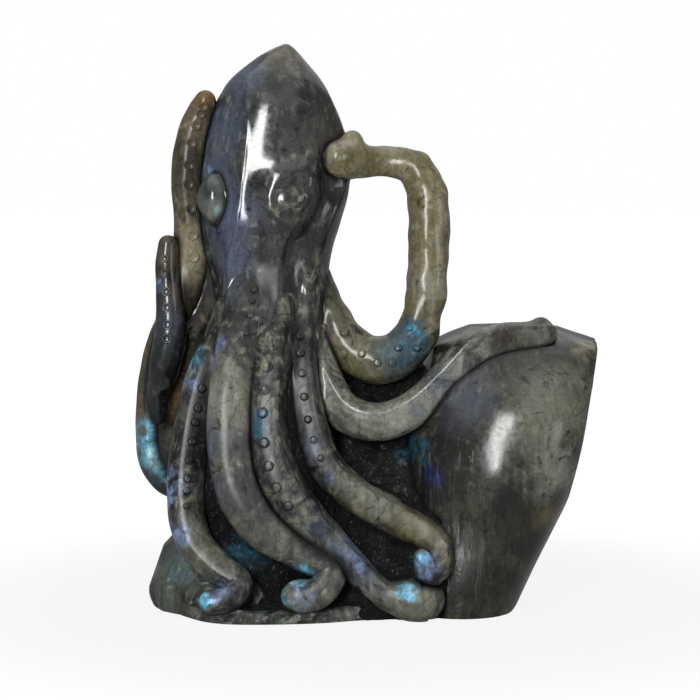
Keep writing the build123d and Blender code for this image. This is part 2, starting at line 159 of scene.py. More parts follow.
# Arms from root to tip: place across, back and up, on the boulder arm in boulder heights, and thickness
ARM_SHARES = {
    "raised_left_arm": [
        (-0.330, 0.09, 0.235, 0.94),
        (-0.385, 0.10, 0.210, 0.94),
        (-0.430, 0.10, 0.213, 0.90),
        (-0.464, 0.10, 0.252, 0.86),
        (-0.472, 0.10, 0.316, 0.82),
        (-0.466, 0.10, 0.388, 0.82),
        (-0.444, 0.10, 0.466, 0.86),
        (-0.394, 0.09, 0.542, 1.04),
        (-0.376, 0.08, 0.618, 1.10),
        (-0.378, 0.06, 0.696, 1.04),
        (-0.383, 0.05, 0.768, 0.98),
        (-0.374, 0.04, 0.834, 0.90),
        (-0.354, 0.03, 0.880, 0.78),
        (-0.343, 0.02, 0.900, 0.66),
    ],
    "short_left_arm": [
        (-0.446, 0.06, 0.335, 0.40),
        (-0.450, 0.05, 0.362, 0.58),
        (-0.443, 0.03, 0.392, 0.76),
        (-0.430, 0.01, 0.436, 0.96),
        (-0.421, 0.01, 0.478, 1.00),
        (-0.420, 0.01, 0.520, 0.86),
        (-0.424, 0.01, 0.566, 0.72),
        (-0.427, 0.01, 0.612, 0.66),
        (-0.425, 0.01, 0.645, 0.58),
    ],
    "front_left_arm": [
        (-0.290, -0.04, 0.540, 0.72),
        (-0.312, -0.10, 0.480, 0.84),
        (-0.342, -0.16, 0.422, 0.92),
        (-0.364, -0.21, 0.341, 0.98),
        (-0.378, -0.26, 0.260, 1.00),
        (-0.379, -0.30, 0.189, 1.00),
        (-0.358, -0.34, 0.131, 0.98),
        (-0.312, -0.38, 0.092, 0.92),
        (-0.266, -0.41, 0.066, 0.82),
        (-0.285, -0.45, 0.042, 0.72),
        (-0.322, -0.46, 0.037, 0.66),
    ],
    "front_middle_arm": [
        (-0.238, -0.02, 0.645, 0.50),
        (-0.246, -0.10, 0.600, 0.60),
        (-0.256, -0.18, 0.545, 0.74),
        (-0.272, -0.27, 0.478, 0.90),
        (-0.284, -0.35, 0.391, 0.97),
        (-0.284, -0.39, 0.298, 1.00),
        (-0.262, -0.42, 0.217, 1.00),
        (-0.209, -0.43, 0.159, 0.96),
        (-0.141, -0.42, 0.123, 0.86),
        (-0.080, -0.42, 0.092, 0.76),
        (-0.092, -0.46, 0.056, 0.72),
        (-0.142, -0.46, 0.046, 0.76),
    ],
    "front_centre_arm": [
        (-0.194, -0.04, 0.610, 0.50),
        (-0.190, -0.13, 0.560, 0.58),
        (-0.188, -0.22, 0.510, 0.68),
        (-0.197, -0.31, 0.440, 0.74),
        (-0.204, -0.37, 0.348, 0.84),
        (-0.183, -0.40, 0.255, 1.00),
        (-0.127, -0.41, 0.182, 1.00),
        (-0.058, -0.40, 0.123, 0.82),
        (-0.004, -0.41, 0.078, 0.66),
        (0.038, -0.42, 0.046, 0.62),
        (0.080, -0.42, 0.036, 0.84),
        (0.110, -0.42, 0.035, 0.92),
        (0.122, -0.42, 0.036, 0.86),
    ],
    "front_right_arm": [
        (-0.165, -0.05, 0.610, 0.58),
        (-0.150, -0.11, 0.560, 0.66),
        (-0.137, -0.18, 0.505, 0.78),
        (-0.132, -0.24, 0.438, 0.84),
        (-0.117, -0.29, 0.344, 0.94),
        (-0.081, -0.31, 0.267, 1.00),
        (-0.013, -0.32, 0.210, 1.00),
        (0.064, -0.32, 0.175, 0.98),
        (0.120, -0.34, 0.150, 0.92),
        (0.156, -0.36, 0.124, 0.82),
        (0.154, -0.41, 0.094, 0.72),
        (0.128, -0.45, 0.088, 0.66),
        (0.116, -0.47, 0.112, 0.58),
    ],
    "boulder_arm": [
        (-0.135, -0.02, 1.060, 0.80),
        (-0.115, -0.07, 0.965, 0.86),
        (-0.090, -0.13, 0.830, 0.94),
        (-0.044, -0.18, 0.714, 1.00),
        (0.030, -0.20, 0.681, 1.00),
        (0.104, -0.20, 0.732, 0.94),
        (0.167, -0.19, 0.830, 0.88),
        (0.221, -0.18, 0.922, 0.94),
        (0.281, -0.16, 0.962, 1.00),
        (0.340, -0.13, 0.970, 0.96),
        (0.372, -0.12, 0.980, 0.84),
    ],
    "loop_arm": [
        (-0.150, 0.03, 0.660, 0.66),
        (-0.122, 0.03, 0.612, 0.70),
        (-0.094, 0.01, 0.545, 0.78),
        (-0.054, -0.03, 0.482, 0.92),
        (0.001, -0.06, 0.444, 1.00),
        (0.062, -0.06, 0.446, 1.00),
        (0.109, -0.04, 0.484, 0.86),
        (0.128, -0.01, 0.545, 0.85),
        (0.136, 0.00, 0.617, 0.85),
        (0.136, 0.01, 0.689, 0.84),
        (0.130, 0.02, 0.742, 0.80),
        (0.101, 0.02, 0.780, 0.74),
        (0.056, 0.03, 0.792, 0.66),
        (0.005, 0.01, 0.793, 0.66),
        (-0.034, -0.04, 0.797, 0.78),
        (-0.058, -0.08, 0.797, 0.76),
    ],
}
# Thickness of each arm, the angle from the front of its ridge and how far the ridge stands up
ARM_FORMS = {
    "raised_left_arm": (0.0104, 70.0, 0.02),
    "short_left_arm": (0.0106, 50.0, 0.02),
    "front_left_arm": (0.0116, 25.0, 0.03),
    "front_middle_arm": (0.0136, 24.0, 0.02),
    "front_centre_arm": (0.0136, -38.0, 0.10),
    "front_right_arm": (0.0110, -40.0, 0.11),
    "boulder_arm": (0.0126, -20.0, 0.10),
    "loop_arm": (0.0156, -30.0, 0.0),
}
# Half the angles of a ridge's crest and of the flats beside it, the flats' place and their depth
CREST_ANGLE = 9.0
FLAT_ANGLE = 26.0
FLAT_MIDDLE_ANGLE = 40.0
FLAT_DEPTH_SHARE = 0.8
# Angles of the rings that round an arm's tip, and the root of the short arm
TIP_ANGLES = (22.0, 42.0, 60.0, 76.0, 86.0)
ROOT_ANGLES = (80.0, 60.0, 38.0, 18.0)
# Knobs that stand up from the arms: place, radius and height
ARM_SPOTS = {
    "loop_arm": [((-4.05, -0.74, 150.48), 3.6, 3.0)],
    "boulder_arm": [((56.0, -6.0, 93.0), 2.8, 1.8)],
    "front_centre_arm": [((16.8, -31.16, 7.2), 7.0, 1.4)],
}
# Rings from one row of an arm to the next, and points in a ring
ARM_STEPS = 10
ARM_SEGMENTS = 48

# Suckers of each arm: first and last place along it, count, facing, diameter, number of rings, zigzag angle
SUCKERS = {
    "raised_left_arm": (0.62, 0.97, 9, -80.0, 0.0042, 9, 0.0),
    "short_left_arm": (0.55, 0.95, 6, -95.0, 0.0038, 6, 0.0),
    "front_left_arm": (0.24, 0.50, 8, -80.0, 0.0034, 0, 0.0),
    "front_middle_arm": (0.16, 0.30, 5, -66.0, 0.0026, 0, 0.0),
    "front_centre_arm": (0.22, 0.47, 8, -105.0, 0.0044, 3, 0.0),
    "front_right_arm": (0.20, 0.40, 7, -95.0, 0.0034, 0, 0.0),
    "loop_arm": (0.18, 0.40, 9, -95.0, 0.0034, 0, 24.0),
}
# Radii of a sucker's foot and top, and its rim's width, as shares of its diameter
SUCKER_FOOT_SHARE = 0.60
SUCKER_TOP_SHARE = 0.42
SUCKER_RIM_SHARE = 0.12
# Its length with its root, how deep its middle sits, a ring's dimple and a bead's dome, in sucker heights
SUCKER_LENGTH_SHARE = 2.4
SUCKER_SINK_SHARE = 0.2
SUCKER_DIMPLE_SHARE = 1.1
SUCKER_DOME_SHARE = 0.3
SUCKER_SIDES = 12
# How much smaller than the first one the last sucker of a row is
SUCKER_TAPER_SHARE = 0.25

# How far the carver rounded the groove beside each form
GROOVE_WIDTHS = {
    "mantle_and_head": 0.005,
    "left_eye_bead": 0.0035,
    "right_eye_bead": 0.0080,
    "web_between_arms": 0.004,
    "web_beside_raised_arm": 0.003,
    "raised_left_arm_form": 0.003,
    "short_left_arm_form": 0.003,
    "front_left_arm_form": 0.004,
    "front_middle_arm_form": 0.004,
    "front_centre_arm_form": 0.004,
    "front_right_arm_form": 0.004,
    "boulder_arm_form": 0.003,
    "loop_arm_form": 0.003,
    "polished_boulder": 0.002,
    "rough_saddle": 0.004,
    "chipped_heel": 0.002,
    "sawn_plinth": 0.003,
}
# Forms that flow more widely into the head
HEAD_FLOWS = {
    "front_left_arm_form": 0.008,
    "front_middle_arm_form": 0.008,
    "front_centre_arm_form": 0.008,
    "front_right_arm_form": 0.008,
    "boulder_arm_form": 0.008,
    "web_between_arms": 0.008,
    "right_eye_bead": 0.010,
}
# The furthest that a groove's rounding moves the skin, and the least that is smoothed afterwards
LONGEST_PUSH = 0.0045
LEAST_SMOOTHED_PUSH = 0.0002
SMOOTHING_ROUNDS = 5
# How fast the rounding fades inside another form, and how soon it is full as two skins turn apart
INNER_FADE = 2.5
CORNER_GAIN = 1.2

# Rock forms, from the ground up: height, place across, place back, width and depth
BOULDER_SECTION_SHARES = [
    (0.00, 0.195, -0.02, 0.62, 0.84),
    (0.22, 0.225, 0.00, 0.80, 0.94),
    (0.50, 0.265, 0.02, 0.98, 1.00),
    (0.73, 0.296, 0.06, 1.00, 0.94),
    (0.88, 0.320, 0.11, 0.97, 0.81),
    (0.95, 0.326, 0.14, 0.90, 0.68),
    (1.00, 0.322, 0.16, 0.50, 0.36),
]
# The boulder's front is turned: slope, middle of the turn, and the depth at which it is full
BOULDER_TURN = 0.10
BOULDER_TURN_MIDDLE = 0.042
BOULDER_TURN_DEPTH = 0.030
BOULDER_SPOTS = [
    ((64.0, -28.0, 56.0), 18.0, 2.6),
    ((27.0, -28.0, 32.0), 15.0, -3.0),
]
# The sawn side: a place on it across the figure, further across the boulder and up it, its lean and worn edge
SAWN_PLACE_SHARES = (0.326, 0.43, 0.94)
SAWN_LEAN = 12.5
SAWN_EDGE = 0.0009
# Unevenness of the boulder and breaks of the saddle, from coarse to fine: height, grain and seed
BOULDER_WAVES = [(0.0009, 0.030, 21.0), (0.0003, 0.010, 23.0)]
SADDLE_BREAKS = [(0.0022, 0.014, 31.0), (0.0010, 0.006, 33.0), (0.0008, 0.0024, 35.0)]

# Height, width and depth of the rough rocks
SADDLE_SIZE = (0.075, 0.064, 0.060)
HEEL_SIZE = (0.034, 0.047, 0.057)
SADDLE_SECTION_SHARES = [
    (0.00, 0.030, 0.00, 1.00, 1.00),
    (0.35, 0.030, 0.05, 0.94, 0.90),
    (0.65, 0.036, 0.10, 0.82, 0.72),
    (0.86, 0.026, 0.14, 0.66, 0.50),
    (1.00, 0.020, 0.17, 0.40, 0.28),
]
SADDLE_SPOTS = [
    ((25.0, -20.0, 32.0), 15.0, 6.0),
    ((27.0, -22.0, 12.0), 14.0, 6.0),
    ((20.0, 0.0, 74.0), 10.0, 10.0),
]
HEEL_SECTION_SHARES = [
    (0.00, -0.310, -0.02, 0.88, 0.94),
    (0.28, -0.314, 0.00, 1.00, 0.98),
    (0.60, -0.304, 0.02, 0.88, 0.84),
    (0.85, -0.288, 0.04, 0.62, 0.62),
    (1.00, -0.274, 0.05, 0.30, 0.34),
]
# Flakes struck off the heel: bearing, slope and how far from its middle, as a share of its reach
HEEL_FLAKES = [
    (186, -14, 0.97),
    (178, 18, 0.95),
    (204, 26, 0.91),
    (226, -4, 0.93),
    (232, 24, 0.90),
    (252, 40, 0.88),
    (262, 8, 0.94),
    (194, 52, 0.90),
    (212, 4, 0.95),
    (160, 28, 0.93),
    (132, 38, 0.90),
    (110, 12, 0.93),
]
# The heel's middle, and its reach across, back and up from there
HEEL_MIDDLE_SHARE = -0.315
HEEL_REACH = (0.0235, 0.0285, 0.031)

# Outline of the plinth: place across and back
PLINTH_OUTLINE_SHARES = [
    (-0.436, -0.08),
    (-0.376, -0.36),
    (-0.290, -0.50),
    (-0.120, -0.49),
    (0.000, -0.41),
    (0.110, -0.34),
    (0.215, -0.28),
    (0.270, -0.12),
    (0.250, 0.28),
    (0.060, 0.44),
    (-0.240, 0.43),
    (-0.420, 0.24),
]
# The plinth's levels with the outline's share at each one, its middle, and its edge's chips and wear
PLINTH_RING_SHARES = [(0.0, 0.985), (0.15, 1.0), (0.55, 0.995), (0.85, 0.98), (1.0, 0.955)]
PLINTH_MIDDLE_SHARES = (-0.07, -0.03)
PLINTH_CHIP = 0.0012
PLINTH_CHIP_GRAIN = 0.006
PLINTH_WEAR = 0.0008
# What lies lower than this counts as the sawn underside
UNDERSIDE = 0.0001

# Outline of the other rocks, across and back from their middle
ROCK_OUTLINE_SHARES = [
    (1.00, 0.00),
    (0.82, 0.68),
    (0.30, 0.98),
    (-0.40, 0.94),
    (-0.88, 0.60),
    (-1.00, -0.05),
    (-0.80, -0.70),
    (-0.28, -1.00),
    (0.38, -0.95),
    (0.86, -0.62),
]

# How soft the edge of each kind of patch in the stone is, and what it changes beside the colour
# Sheen and flash patches are painted reflection: the stone's blue flash and sheen show only where light
# strikes at some angles, but are painted into its colour at fixed places.
PATCH_KINDS = {
    "tint": (0.70, None),
    "sheen": (0.85, "flash"),
    "flash": (0.45, "flash"),
    "raw": (0.70, "raw"),
    "dull": (0.70, "dull"),
}
# Stone of the head, and the heights between which the arms' roots change to it
HEAD_COLOURS = ("charcoal", "slate", "grey_green")
HEAD_STONE_HEIGHTS = (0.074, 0.100)

# Polished stones: dark, middle and pale colour, paleness, veining, dullness, if it starts as the head's,
# and its patches by kind, place, radius, colour and strength
POLISHED_STONES = {
    "mantle stone": (
        ("charcoal", "slate", "grey_green"), 0.39, 0.9, 0.0, False,
        [
            ("tint", (-25, 0, 178), 10, "brown", 0.6),
            ("tint", (-21, -6, 166), 13, "charcoal", 0.5),
            ("tint", (-10, -6, 152), 12, "bark", 0.6),
            # Dark patch over the head's right flank: painted shade on the side turned from the key lamp.
            ("tint", (-8, -8, 128), 14, "vein", 0.75),
            # Dull, dark spot on the neck: its charcoal is painted shade that holds down a highlight there.
            ("dull", (-30, -14, 105), 8, "charcoal", 0.8),
            ("tint", (-26, -18, 150), 12, "slate", 0.5),
            ("tint", (-14, -14, 117), 7, "vein", 0.9),
            ("sheen", (-44, -10, 126), 11, "haze", 1.0),
            ("sheen", (-44, -11, 112), 9, "haze", 0.9),
            ("sheen", (-39, -2, 171), 8, "haze", 0.8),
            ("sheen", (-47, -6, 154), 11, "haze", 0.7),
            ("sheen", (-49, -7, 140), 8, "haze", 0.75),
            ("flash", (-49.5, -4, 139.5), 2.5, "sky", 1.0),
        ],
    ),
    "eye stone": (
        ("slate", "pearl", "pearl"), 0.40, 0.1, 0.0, False,
        [
            # The eye's lower rim is painted light and its top dark: painted highlight and painted shade.
            ("sheen", (-48, -12, 126.5), 4, "mist", 0.9),
            ("tint", (-50, -10, 134), 4, "charcoal", 0.8),
            ("sheen", (-46, -13, 127), 2.4, "frost", 0.5),
        ],
    ),
    "side web stone": (
        ("vein", "bark", "brown"), 0.38, 0.8, 0.0, False,
        [
            ("tint", (-60, 4, 64), 7, "amber", 0.5),
            ("tint", (-52, 4, 106), 10, "brown", 0.6),
        ],
    ),
    "raised left arm stone": (
        ("bark", "brown", "sand"), 0.36, 0.6, 0.14, False,
        [
            ("tint", (-51, -1, 164), 6, "amber", 0.75),
            ("tint", (-57, 4, 138), 14, "bark", 0.6),
            ("tint", (-54, 2, 114), 13, "sand", 0.85),
            ("tint", (-68, 6, 72), 11, "drab", 0.6),
            ("flash", (-69, 3, 50), 9, "cyan", 1.0),
            ("flash", (-67, 3, 46), 5, "frost", 1.0),
            ("flash", (-69, 5, 40), 7, "teal", 0.9),
        ],
    ),
    "short left arm stone": (
        ("vein", "charcoal", "slate"), 0.40, 0.6, 0.05, False,
        [
            ("tint", (-64, -4, 114), 9, "brown", 0.6),
            ("tint", (-60, -4, 100), 6, "brown", 0.6),
            ("flash", (-67, -2, 103), 3, "sky", 0.9),
            ("sheen", (-64, -4, 92), 10, "steel", 0.35),
        ],
    ),
    "front left arm stone": (
        ("charcoal", "slate", "grey_green"), 0.42, 1.0, 0.18, True,
        [
            ("tint", (-54, -20, 62), 13, "charcoal", 0.6),
            ("tint", (-52, -30, 22), 15, "grey_green", 0.5),
            ("flash", (-62, -20, 41), 6.5, "sky", 1.0),
            ("flash", (-60, -25, 25), 6, "sky", 0.8),
            ("flash", (-54, -12, 80), 4.5, "cyan", 0.9),
            ("flash", (-55, -14, 73), 3.5, "sky", 0.6),
            ("flash", (-46.6, -37, 10), 5, "sky", 0.6),
            ("flash", (-51, -38, 7.5), 3.5, "cyan", 1.0),
        ],
    ),
    "front middle arm stone": (
        ("slate", "grey_green", "mist"), 0.38, 0.8, 0.20, True,
        [
            ("tint", (-46, -28, 68), 12, "mist", 0.6),
            ("tint", (-36, -33, 38), 18, "slate", 0.65),
            ("flash", (-46.5, -22, 86), 3.5, "sky", 0.6),
            ("flash", (-48, -23, 80), 2.5, "blue", 0.6),
            ("sheen", (-45, -14, 104), 7, "haze", 0.4),
            ("sheen", (-51, -28, 56), 9, "steel", 0.8),
            ("sheen", (-50, -30, 40), 8, "steel", 0.8),
            ("flash", (-20.5, -38, 15.6), 4, "cyan", 1.0),
            ("flash", (-23, -38, 15), 3, "frost", 0.9),
            ("flash", (-27, -37, 9), 3.5, "cyan", 0.9),
            ("flash", (-19, -40, 8), 5, "sky", 0.6),
        ],
    ),
    "front centre arm stone": (
        ("charcoal", "slate", "grey_green"), 0.45, 1.0, 0.20, True,
        [
            ("tint", (-30, -33, 52), 14, "charcoal", 0.2),
            ("tint", (14, -36, 6), 10, "grey_green", 0.7),
            ("flash", (-33, -34, 62), 5, "teal", 1.0),
            ("sheen", (-1, -37, 19), 9, "steel", 0.8),
            ("flash", (-5, -39, 22), 7, "sky", 0.7),
            ("sheen", (-14, -38, 30), 8, "steel", 0.4),
            ("flash", (12.5, -39, 11), 4.5, "cyan", 1.0),
            ("flash", (13, -39, 12.5), 2.5, "frost", 1.0),
        ],
    ),
    "front right arm stone": (
        ("charcoal", "slate", "grey_green"), 0.43, 0.9, 0.20, True,
        [
            ("tint", (2, -26, 36), 16, "olive", 0.35),
            ("tint", (4, -28, 39), 10, "mist", 0.6),
            ("tint", (18, -30, 28), 12, "olive", 0.7),
            ("tint", (-20, -16, 62), 12, "charcoal", 0.6),
            ("sheen", (-12, -30, 44), 3.5, "haze", 0.6),
            ("sheen", (-17, -24, 54), 5, "steel", 0.8),
            ("flash", (18.5, -38, 19), 5, "sky", 1.0),
            ("flash", (16.5, -40, 21.5), 3.5, "cyan", 1.0),
        ],
    ),
    "boulder arm stone": (
        ("slate", "grey_green", "mist"), 0.46, 0.7, 0.10, True,
        [
            ("tint", (52, -10, 87), 12, "bark", 0.75),
            ("tint", (43, -13, 85), 8, "bark", 0.8),
            ("tint", (-3, -20, 62), 8, "drab", 0.4),
            ("tint", (12, -20, 62), 13, "mist", 0.7),
            ("sheen", (26, -18, 72), 9, "steel", 0.5),
            ("sheen", (16, -22, 65), 3.5, "haze", 0.7),
        ],
    ),
    "loop arm stone": (
        ("olive", "sand", "mist"), 0.36, 0.9, 0.10, False,
        [
            ("tint", (4, -4, 82), 26, "drab", 0.4),
            ("tint", (-14, -4, 98), 16, "drab", 0.8),
            ("tint", (20, 0, 104), 9, "mist", 0.4),
            ("tint", (-2, 4, 144), 7, "olive", 0.6),
            ("tint", (13, -6, 84), 12, "slate", 0.8),
            ("sheen", (12, -8, 82), 10, "teal", 0.6),
            ("flash", (15, -10, 88), 5, "teal", 0.9),
            ("flash", (15, -10, 89), 2.5, "cyan", 0.5),
        ],
    ),
    "boulder stone": (
        ("umber", "drab", "grey_green"), 0.36, 0.9, 0.06, False,
        [
            ("tint", (60, -24, 69), 18, "grey_green", 0.8),
            ("tint", (51, -31, 60), 10, "grey_green", 0.6),
            # Pale patch on the boulder's right: partly pale stone, partly a painted highlight.
            ("tint", (59, -24, 46), 11, "mist", 0.75),
            ("tint", (45, -25, 85), 14, "charcoal", 0.7),
            ("tint", (60, -14, 84), 8, "charcoal", 0.7),
            ("tint", (71, -12, 86), 6, "sand", 0.9),
            ("tint", (57, -26, 31), 6, "olive", 0.8),
            ("tint", (60, -25, 37), 5, "bark", 0.9),
            ("tint", (56, -24, 22), 9, "vein", 1.0),
            ("tint", (44, -32, 38), 7, "vein", 1.0),
            ("tint", (40, -32, 50), 9, "umber", 0.8),
            ("tint", (44, -34, 30), 11, "umber", 0.7),
            ("tint", (38, -30, 12), 16, "umber", 0.8),
            ("raw", (26, -26, 20), 22, "vein", 0.9),
            ("tint", (29, -24, 54), 14, "umber", 0.85),
            ("raw", (20, -22, 47), 15, "vein", 0.95),
            ("sheen", (32, -26, 70), 12, "steel", 0.5),
            ("flash", (15, -18, 52), 6, "teal", 0.8),
            ("flash", (22, -22, 45), 4.5, "deep", 1.0),
        ],
    ),
}
# Broken stones: dark and light colour, strength of the grit, gloss, and patches
BROKEN_STONES = {
    "web stone": (
        "vein", "charcoal", 0.4, 0.0,
        [
            ("tint", (-31, 60, 50), 34, "drab", 0.9),
            ("flash", (-39, -25, 19), 8, "teal", 0.7),
        ],
    ),
    "saddle stone": (
        "vein", "charcoal", 0.8, 0.0,
        [
            ("tint", (15, 60, 40), 34, "drab", 0.9),
            ("flash", (15, -18, 52), 6, "teal", 0.7),
            ("flash", (22, -22, 45), 4, "deep", 1.0),
        ],
    ),
    "chipped stone": (
        "charcoal", "moss", 0.3, 0.26,
        [
            ("tint", (-60, -15, 13), 16, "moss", 0.7),
            ("flash", (-60, -18, 16), 9, "teal", 0.5),
            ("tint", (-4, -34, 4), 6, "mist", 0.6),
        ],
    ),
}
# Bright specks in broken stone: pale crystal, brightened as a painted glint
GLINT = (0.20, 0.20, 0.18, 1.0)
# How strongly polished stone bends light, and the depth of its relief, of the grit and of the flake scars
STONE_IOR = 1.56
POLISH_RELIEF = 0.0004
GRIT_RELIEF = 0.0008
FLAKE_RELIEF = 0.004

# Lamps: place, what each one looks at, width and height, and the setting that holds its power
LAMPS = {
    "key lamp": ((-0.30, -1.04, 0.40), (-0.02, 0.0, 0.10), (0.20, 0.70), "key_power"),
    "side lamp": ((0.62, -0.52, 0.18), (0.03, 0.0, 0.06), (0.25, 0.40), "side_power"),
    "top lamp": ((-0.05, -0.20, 0.85), (0.0, 0.0, 0.08), (1.40, 1.20), "top_power"),
    "back lamp": ((0.20, 0.70, 0.90), (0.0, 0.0, 0.08), (1.20, 1.20), "back_power"),
}
CAMERA_LENS = 127.6
CAMERA_SENSOR = 36.0
CAMERA_TILT = 5.0
CAMERA_DISTANCE = 0.8
CAMERA_TARGET = (-0.0050, 0.0016, 0.0820)
FLOOR_REACH = 4.0
# Where the figure's shadow on the floor starts to fade and where it ends, and how much of it is seen
SHADOW_FADE = (0.09, 0.22)
SHADOW_SHARES = (0.84, 1.0)
FLOOR_GLOW = 1.05
WORLD_LIGHT = 0.18
# How much of the white surroundings the polish mirrors
MIRRORED_SHARE = 0.10
WHITE = (1.0, 1.0, 1.0, 1.0)


def colour_property(name, description, default):
    """A colour that the user may change."""
    return FloatVectorProperty(
        name=name, description=description, default=default, size=3, min=0.0, max=1.0, subtype="COLOR"
    )


def length_property(name, description, default):
    """A length that the user may change."""
    return FloatProperty(
        name=name, description=description, default=default, min=0.0, unit="LENGTH", precision=4
    )


def power_property(name, description, default):
    """A lamp's power that the user may change."""
    return FloatProperty(name=name, description=description, default=default, min=0.0, unit="POWER")


class CarvingSizes(bpy.types.PropertyGroup):
    """Sizes of the carving"""

    width: length_property("Width", "From the bowed arm to the boulder's edge", 0.150)
    depth: length_property("Depth", "From the front feet to the boulder's back", 0.078)
    height: length_property("Height", "From the base to the mantle's tip", 0.180)
    mantle_width: length_property("Mantle Width", "Across the mantle at its fullest", 0.047)
    mantle_depth: length_property("Mantle Depth", "Mantle from front to back", 0.043)
    web_width: length_property("Web Width", "Across the mass between the arms", 0.058)
    web_depth: length_property("Web Depth", "Mass between the arms from front to back", 0.056)
    side_web_width: length_property("Side Web Width", "Stone between raised arm and body, across", 0.020)
    side_web_depth: length_property("Side Web Depth", "Stone between raised arm and body, deep", 0.0065)
    boulder_width: length_property("Boulder Width", "Across the boulder", 0.060)
    boulder_depth: length_property("Boulder Depth", "Boulder from front to back", 0.070)
    boulder_height: length_property("Boulder Height", "From the base to the boulder's top", 0.089)
    plinth_thickness: length_property("Plinth Thickness", "Thickness of the sawn foot", 0.004)
    sucker_height: length_property("Sucker Height", "How far a sucker stands off its arm", 0.0009)
    face_cut: FloatProperty(
        name="Face Cut",
        description="How deep the face is cut between its lines",
        default=0.075,
        min=0.0,
        max=0.2,
    )
    hand_wobble: length_property("Hand Wobble", "Unevenness that the carver's hand leaves", 0.00035)


class StoneColours(bpy.types.PropertyGroup):
    """Colours of the stone, and of its flash and sheen, which are painted reflection"""

    vein: colour_property("Vein", "Black cracks, specks and hollows", (0.0045, 0.0045, 0.005))
    charcoal: colour_property("Charcoal", "Darkest polished stone", (0.013, 0.014, 0.015))
    slate: colour_property("Slate", "Dark grey of the mantle and the front arms", (0.052, 0.053, 0.053))
    grey_green: colour_property("Grey Green", "Cloudy grey of the arms", (0.145, 0.147, 0.112))
    mist: colour_property("Mist", "Pale grey in the middle arm", (0.215, 0.220, 0.185))
    pearl: colour_property("Pearl", "Clear grey of the left eye", (0.085, 0.095, 0.096))
    umber: colour_property("Umber", "Dark olive of the boulder", (0.013, 0.013, 0.010))
    drab: colour_property("Drab", "Middle olive of the boulder", (0.048, 0.047, 0.034))
    olive: colour_property("Olive", "Green-brown tint", (0.125, 0.112, 0.055))
    sand: colour_property("Sand", "Light stone of the loop", (0.225, 0.203, 0.130))
    brown: colour_property("Brown", "Warm grey of the raised arm", (0.098, 0.080, 0.050))
    bark: colour_property("Bark", "Dark warm stone", (0.030, 0.025, 0.018))
    amber: colour_property("Amber", "Golden brown where the light comes through", (0.160, 0.090, 0.028))
    moss: colour_property("Moss", "Green cast of the chipped rock", (0.085, 0.096, 0.078))
    haze: colour_property("Blue Haze", "Faint blue-grey sheen", (0.098, 0.120, 0.190))
    sky: colour_property("Sky Flash", "Light blue of the flash", (0.210, 0.290, 0.500))
    steel: colour_property("Steel Sheen", "Faint blue-grey sheen of the arms", (0.090, 0.102, 0.140))
    deep: colour_property("Deep Flash", "Dark blue in the hollow", (0.007, 0.018, 0.160))
    blue: colour_property("Blue Flash", "Blue of the stone's flash", (0.030, 0.090, 0.450))
    teal: colour_property("Teal Flash", "Green-blue of the deeper flash", (0.024, 0.095, 0.145))
    cyan: colour_property("Cyan Flash", "Bright part of the flash", (0.150, 0.500, 0.720))
    frost: colour_property("Frost Flash", "Brightest part of the flash", (0.550, 0.850, 0.900))


class StudioSettings(bpy.types.PropertyGroup):
    """Floor and lamps"""

    floor: colour_property("Floor", "Colour of the floor", (0.36, 0.36, 0.36))
    key_power: power_property("Key Lamp", "Power of the large soft lamp", 10.0)
    side_power: power_property("Side Lamp", "Power of the strip lamp", 0.8)
    back_power: power_property("Back Lamp", "Power of the lamp behind", 2.2)
    top_power: power_property("Top Lamp", "Power of the lamp above", 3.2)


def sizes():
    """The carving's sizes as they are set."""
    return bpy.context.scene.octopus_sizes


# Skins and pieces


def place(across, back, height):
    """A point of the figure from its shares and its height."""
    return Vector((across * sizes().width, back * sizes().depth + BACK_SHIFT, height))


def curve_rows(rows, steps, closed=False):
    """Rows of numbers with smooth rows put between them."""
    count = len(rows)
    smooth = []
    for i in range(count if closed else count - 1):
        if closed:
            a, b, c, d = (rows[(i + k) % count] for k in (-1, 0, 1, 2))
        else:
            a, b, c, d = (rows[min(max(i + k, 0), count - 1)] for k in (-1, 0, 1, 2))
        for step in range(steps):
            t = step / steps
            row = []
            for p, q, r, s in zip(a, b, c, d):
                bend = p - 2.5 * q + 2 * r - s / 2 + t * (1.5 * (q - r) + (s - p) / 2)
                row.append(q + t * ((r - p) / 2 + t * bend))
            smooth.append(tuple(row))
    if not closed:
        smooth.append(tuple(rows[-1]))
    return smooth


def row_at(rows, value):
    """A row between two others, found by its first number."""
    for low, high in zip(rows, rows[1:]):
        if value <= high[0]:
            rest = max(0.0, (value - low[0]) / (high[0] - low[0]))
            return [a + (b - a) * rest for a, b in zip(low, high)]
    return list(rows[-1])


def ring_edges(ring):
    """Edges that run along a ring of vertices, in the same order each time."""
    members = set(ring)
    found = [edge for vert in ring for edge in vert.link_edges if edge.other_vert(vert) in members]
    return list(dict.fromkeys(found))


def loft(bm, rings):
    """A closed skin through rings of points."""
    loops = []
    for ring in rings:
        verts = bmesh.ops.create_circle(bm, cap_ends=False, segments=len(ring), radius=1.0)["verts"]
        for vert, point in zip(verts, ring):
            vert.co = point
        loops.append(verts)
    edges = [ring_edges(loop) for loop in loops]
    for low, high in zip(edges, edges[1:]):
        bmesh.ops.bridge_loops(bm, edges=low + high)
    for end in (edges[0], edges[-1]):
        bmesh.ops.edgeloop_fill(bm, edges=end)
    bmesh.ops.recalc_face_normals(bm, faces=bm.faces)


def wobble(bm, height, grain, seed):
    """Moves the skin in and out a little, as hand carving leaves it."""
    offset = Vector((seed, seed * 0.7, seed * 1.3))
    bm.normal_update()
    for vert in bm.verts:
        vert.co += vert.normal * (height * noise.noise(vert.co / grain + offset))


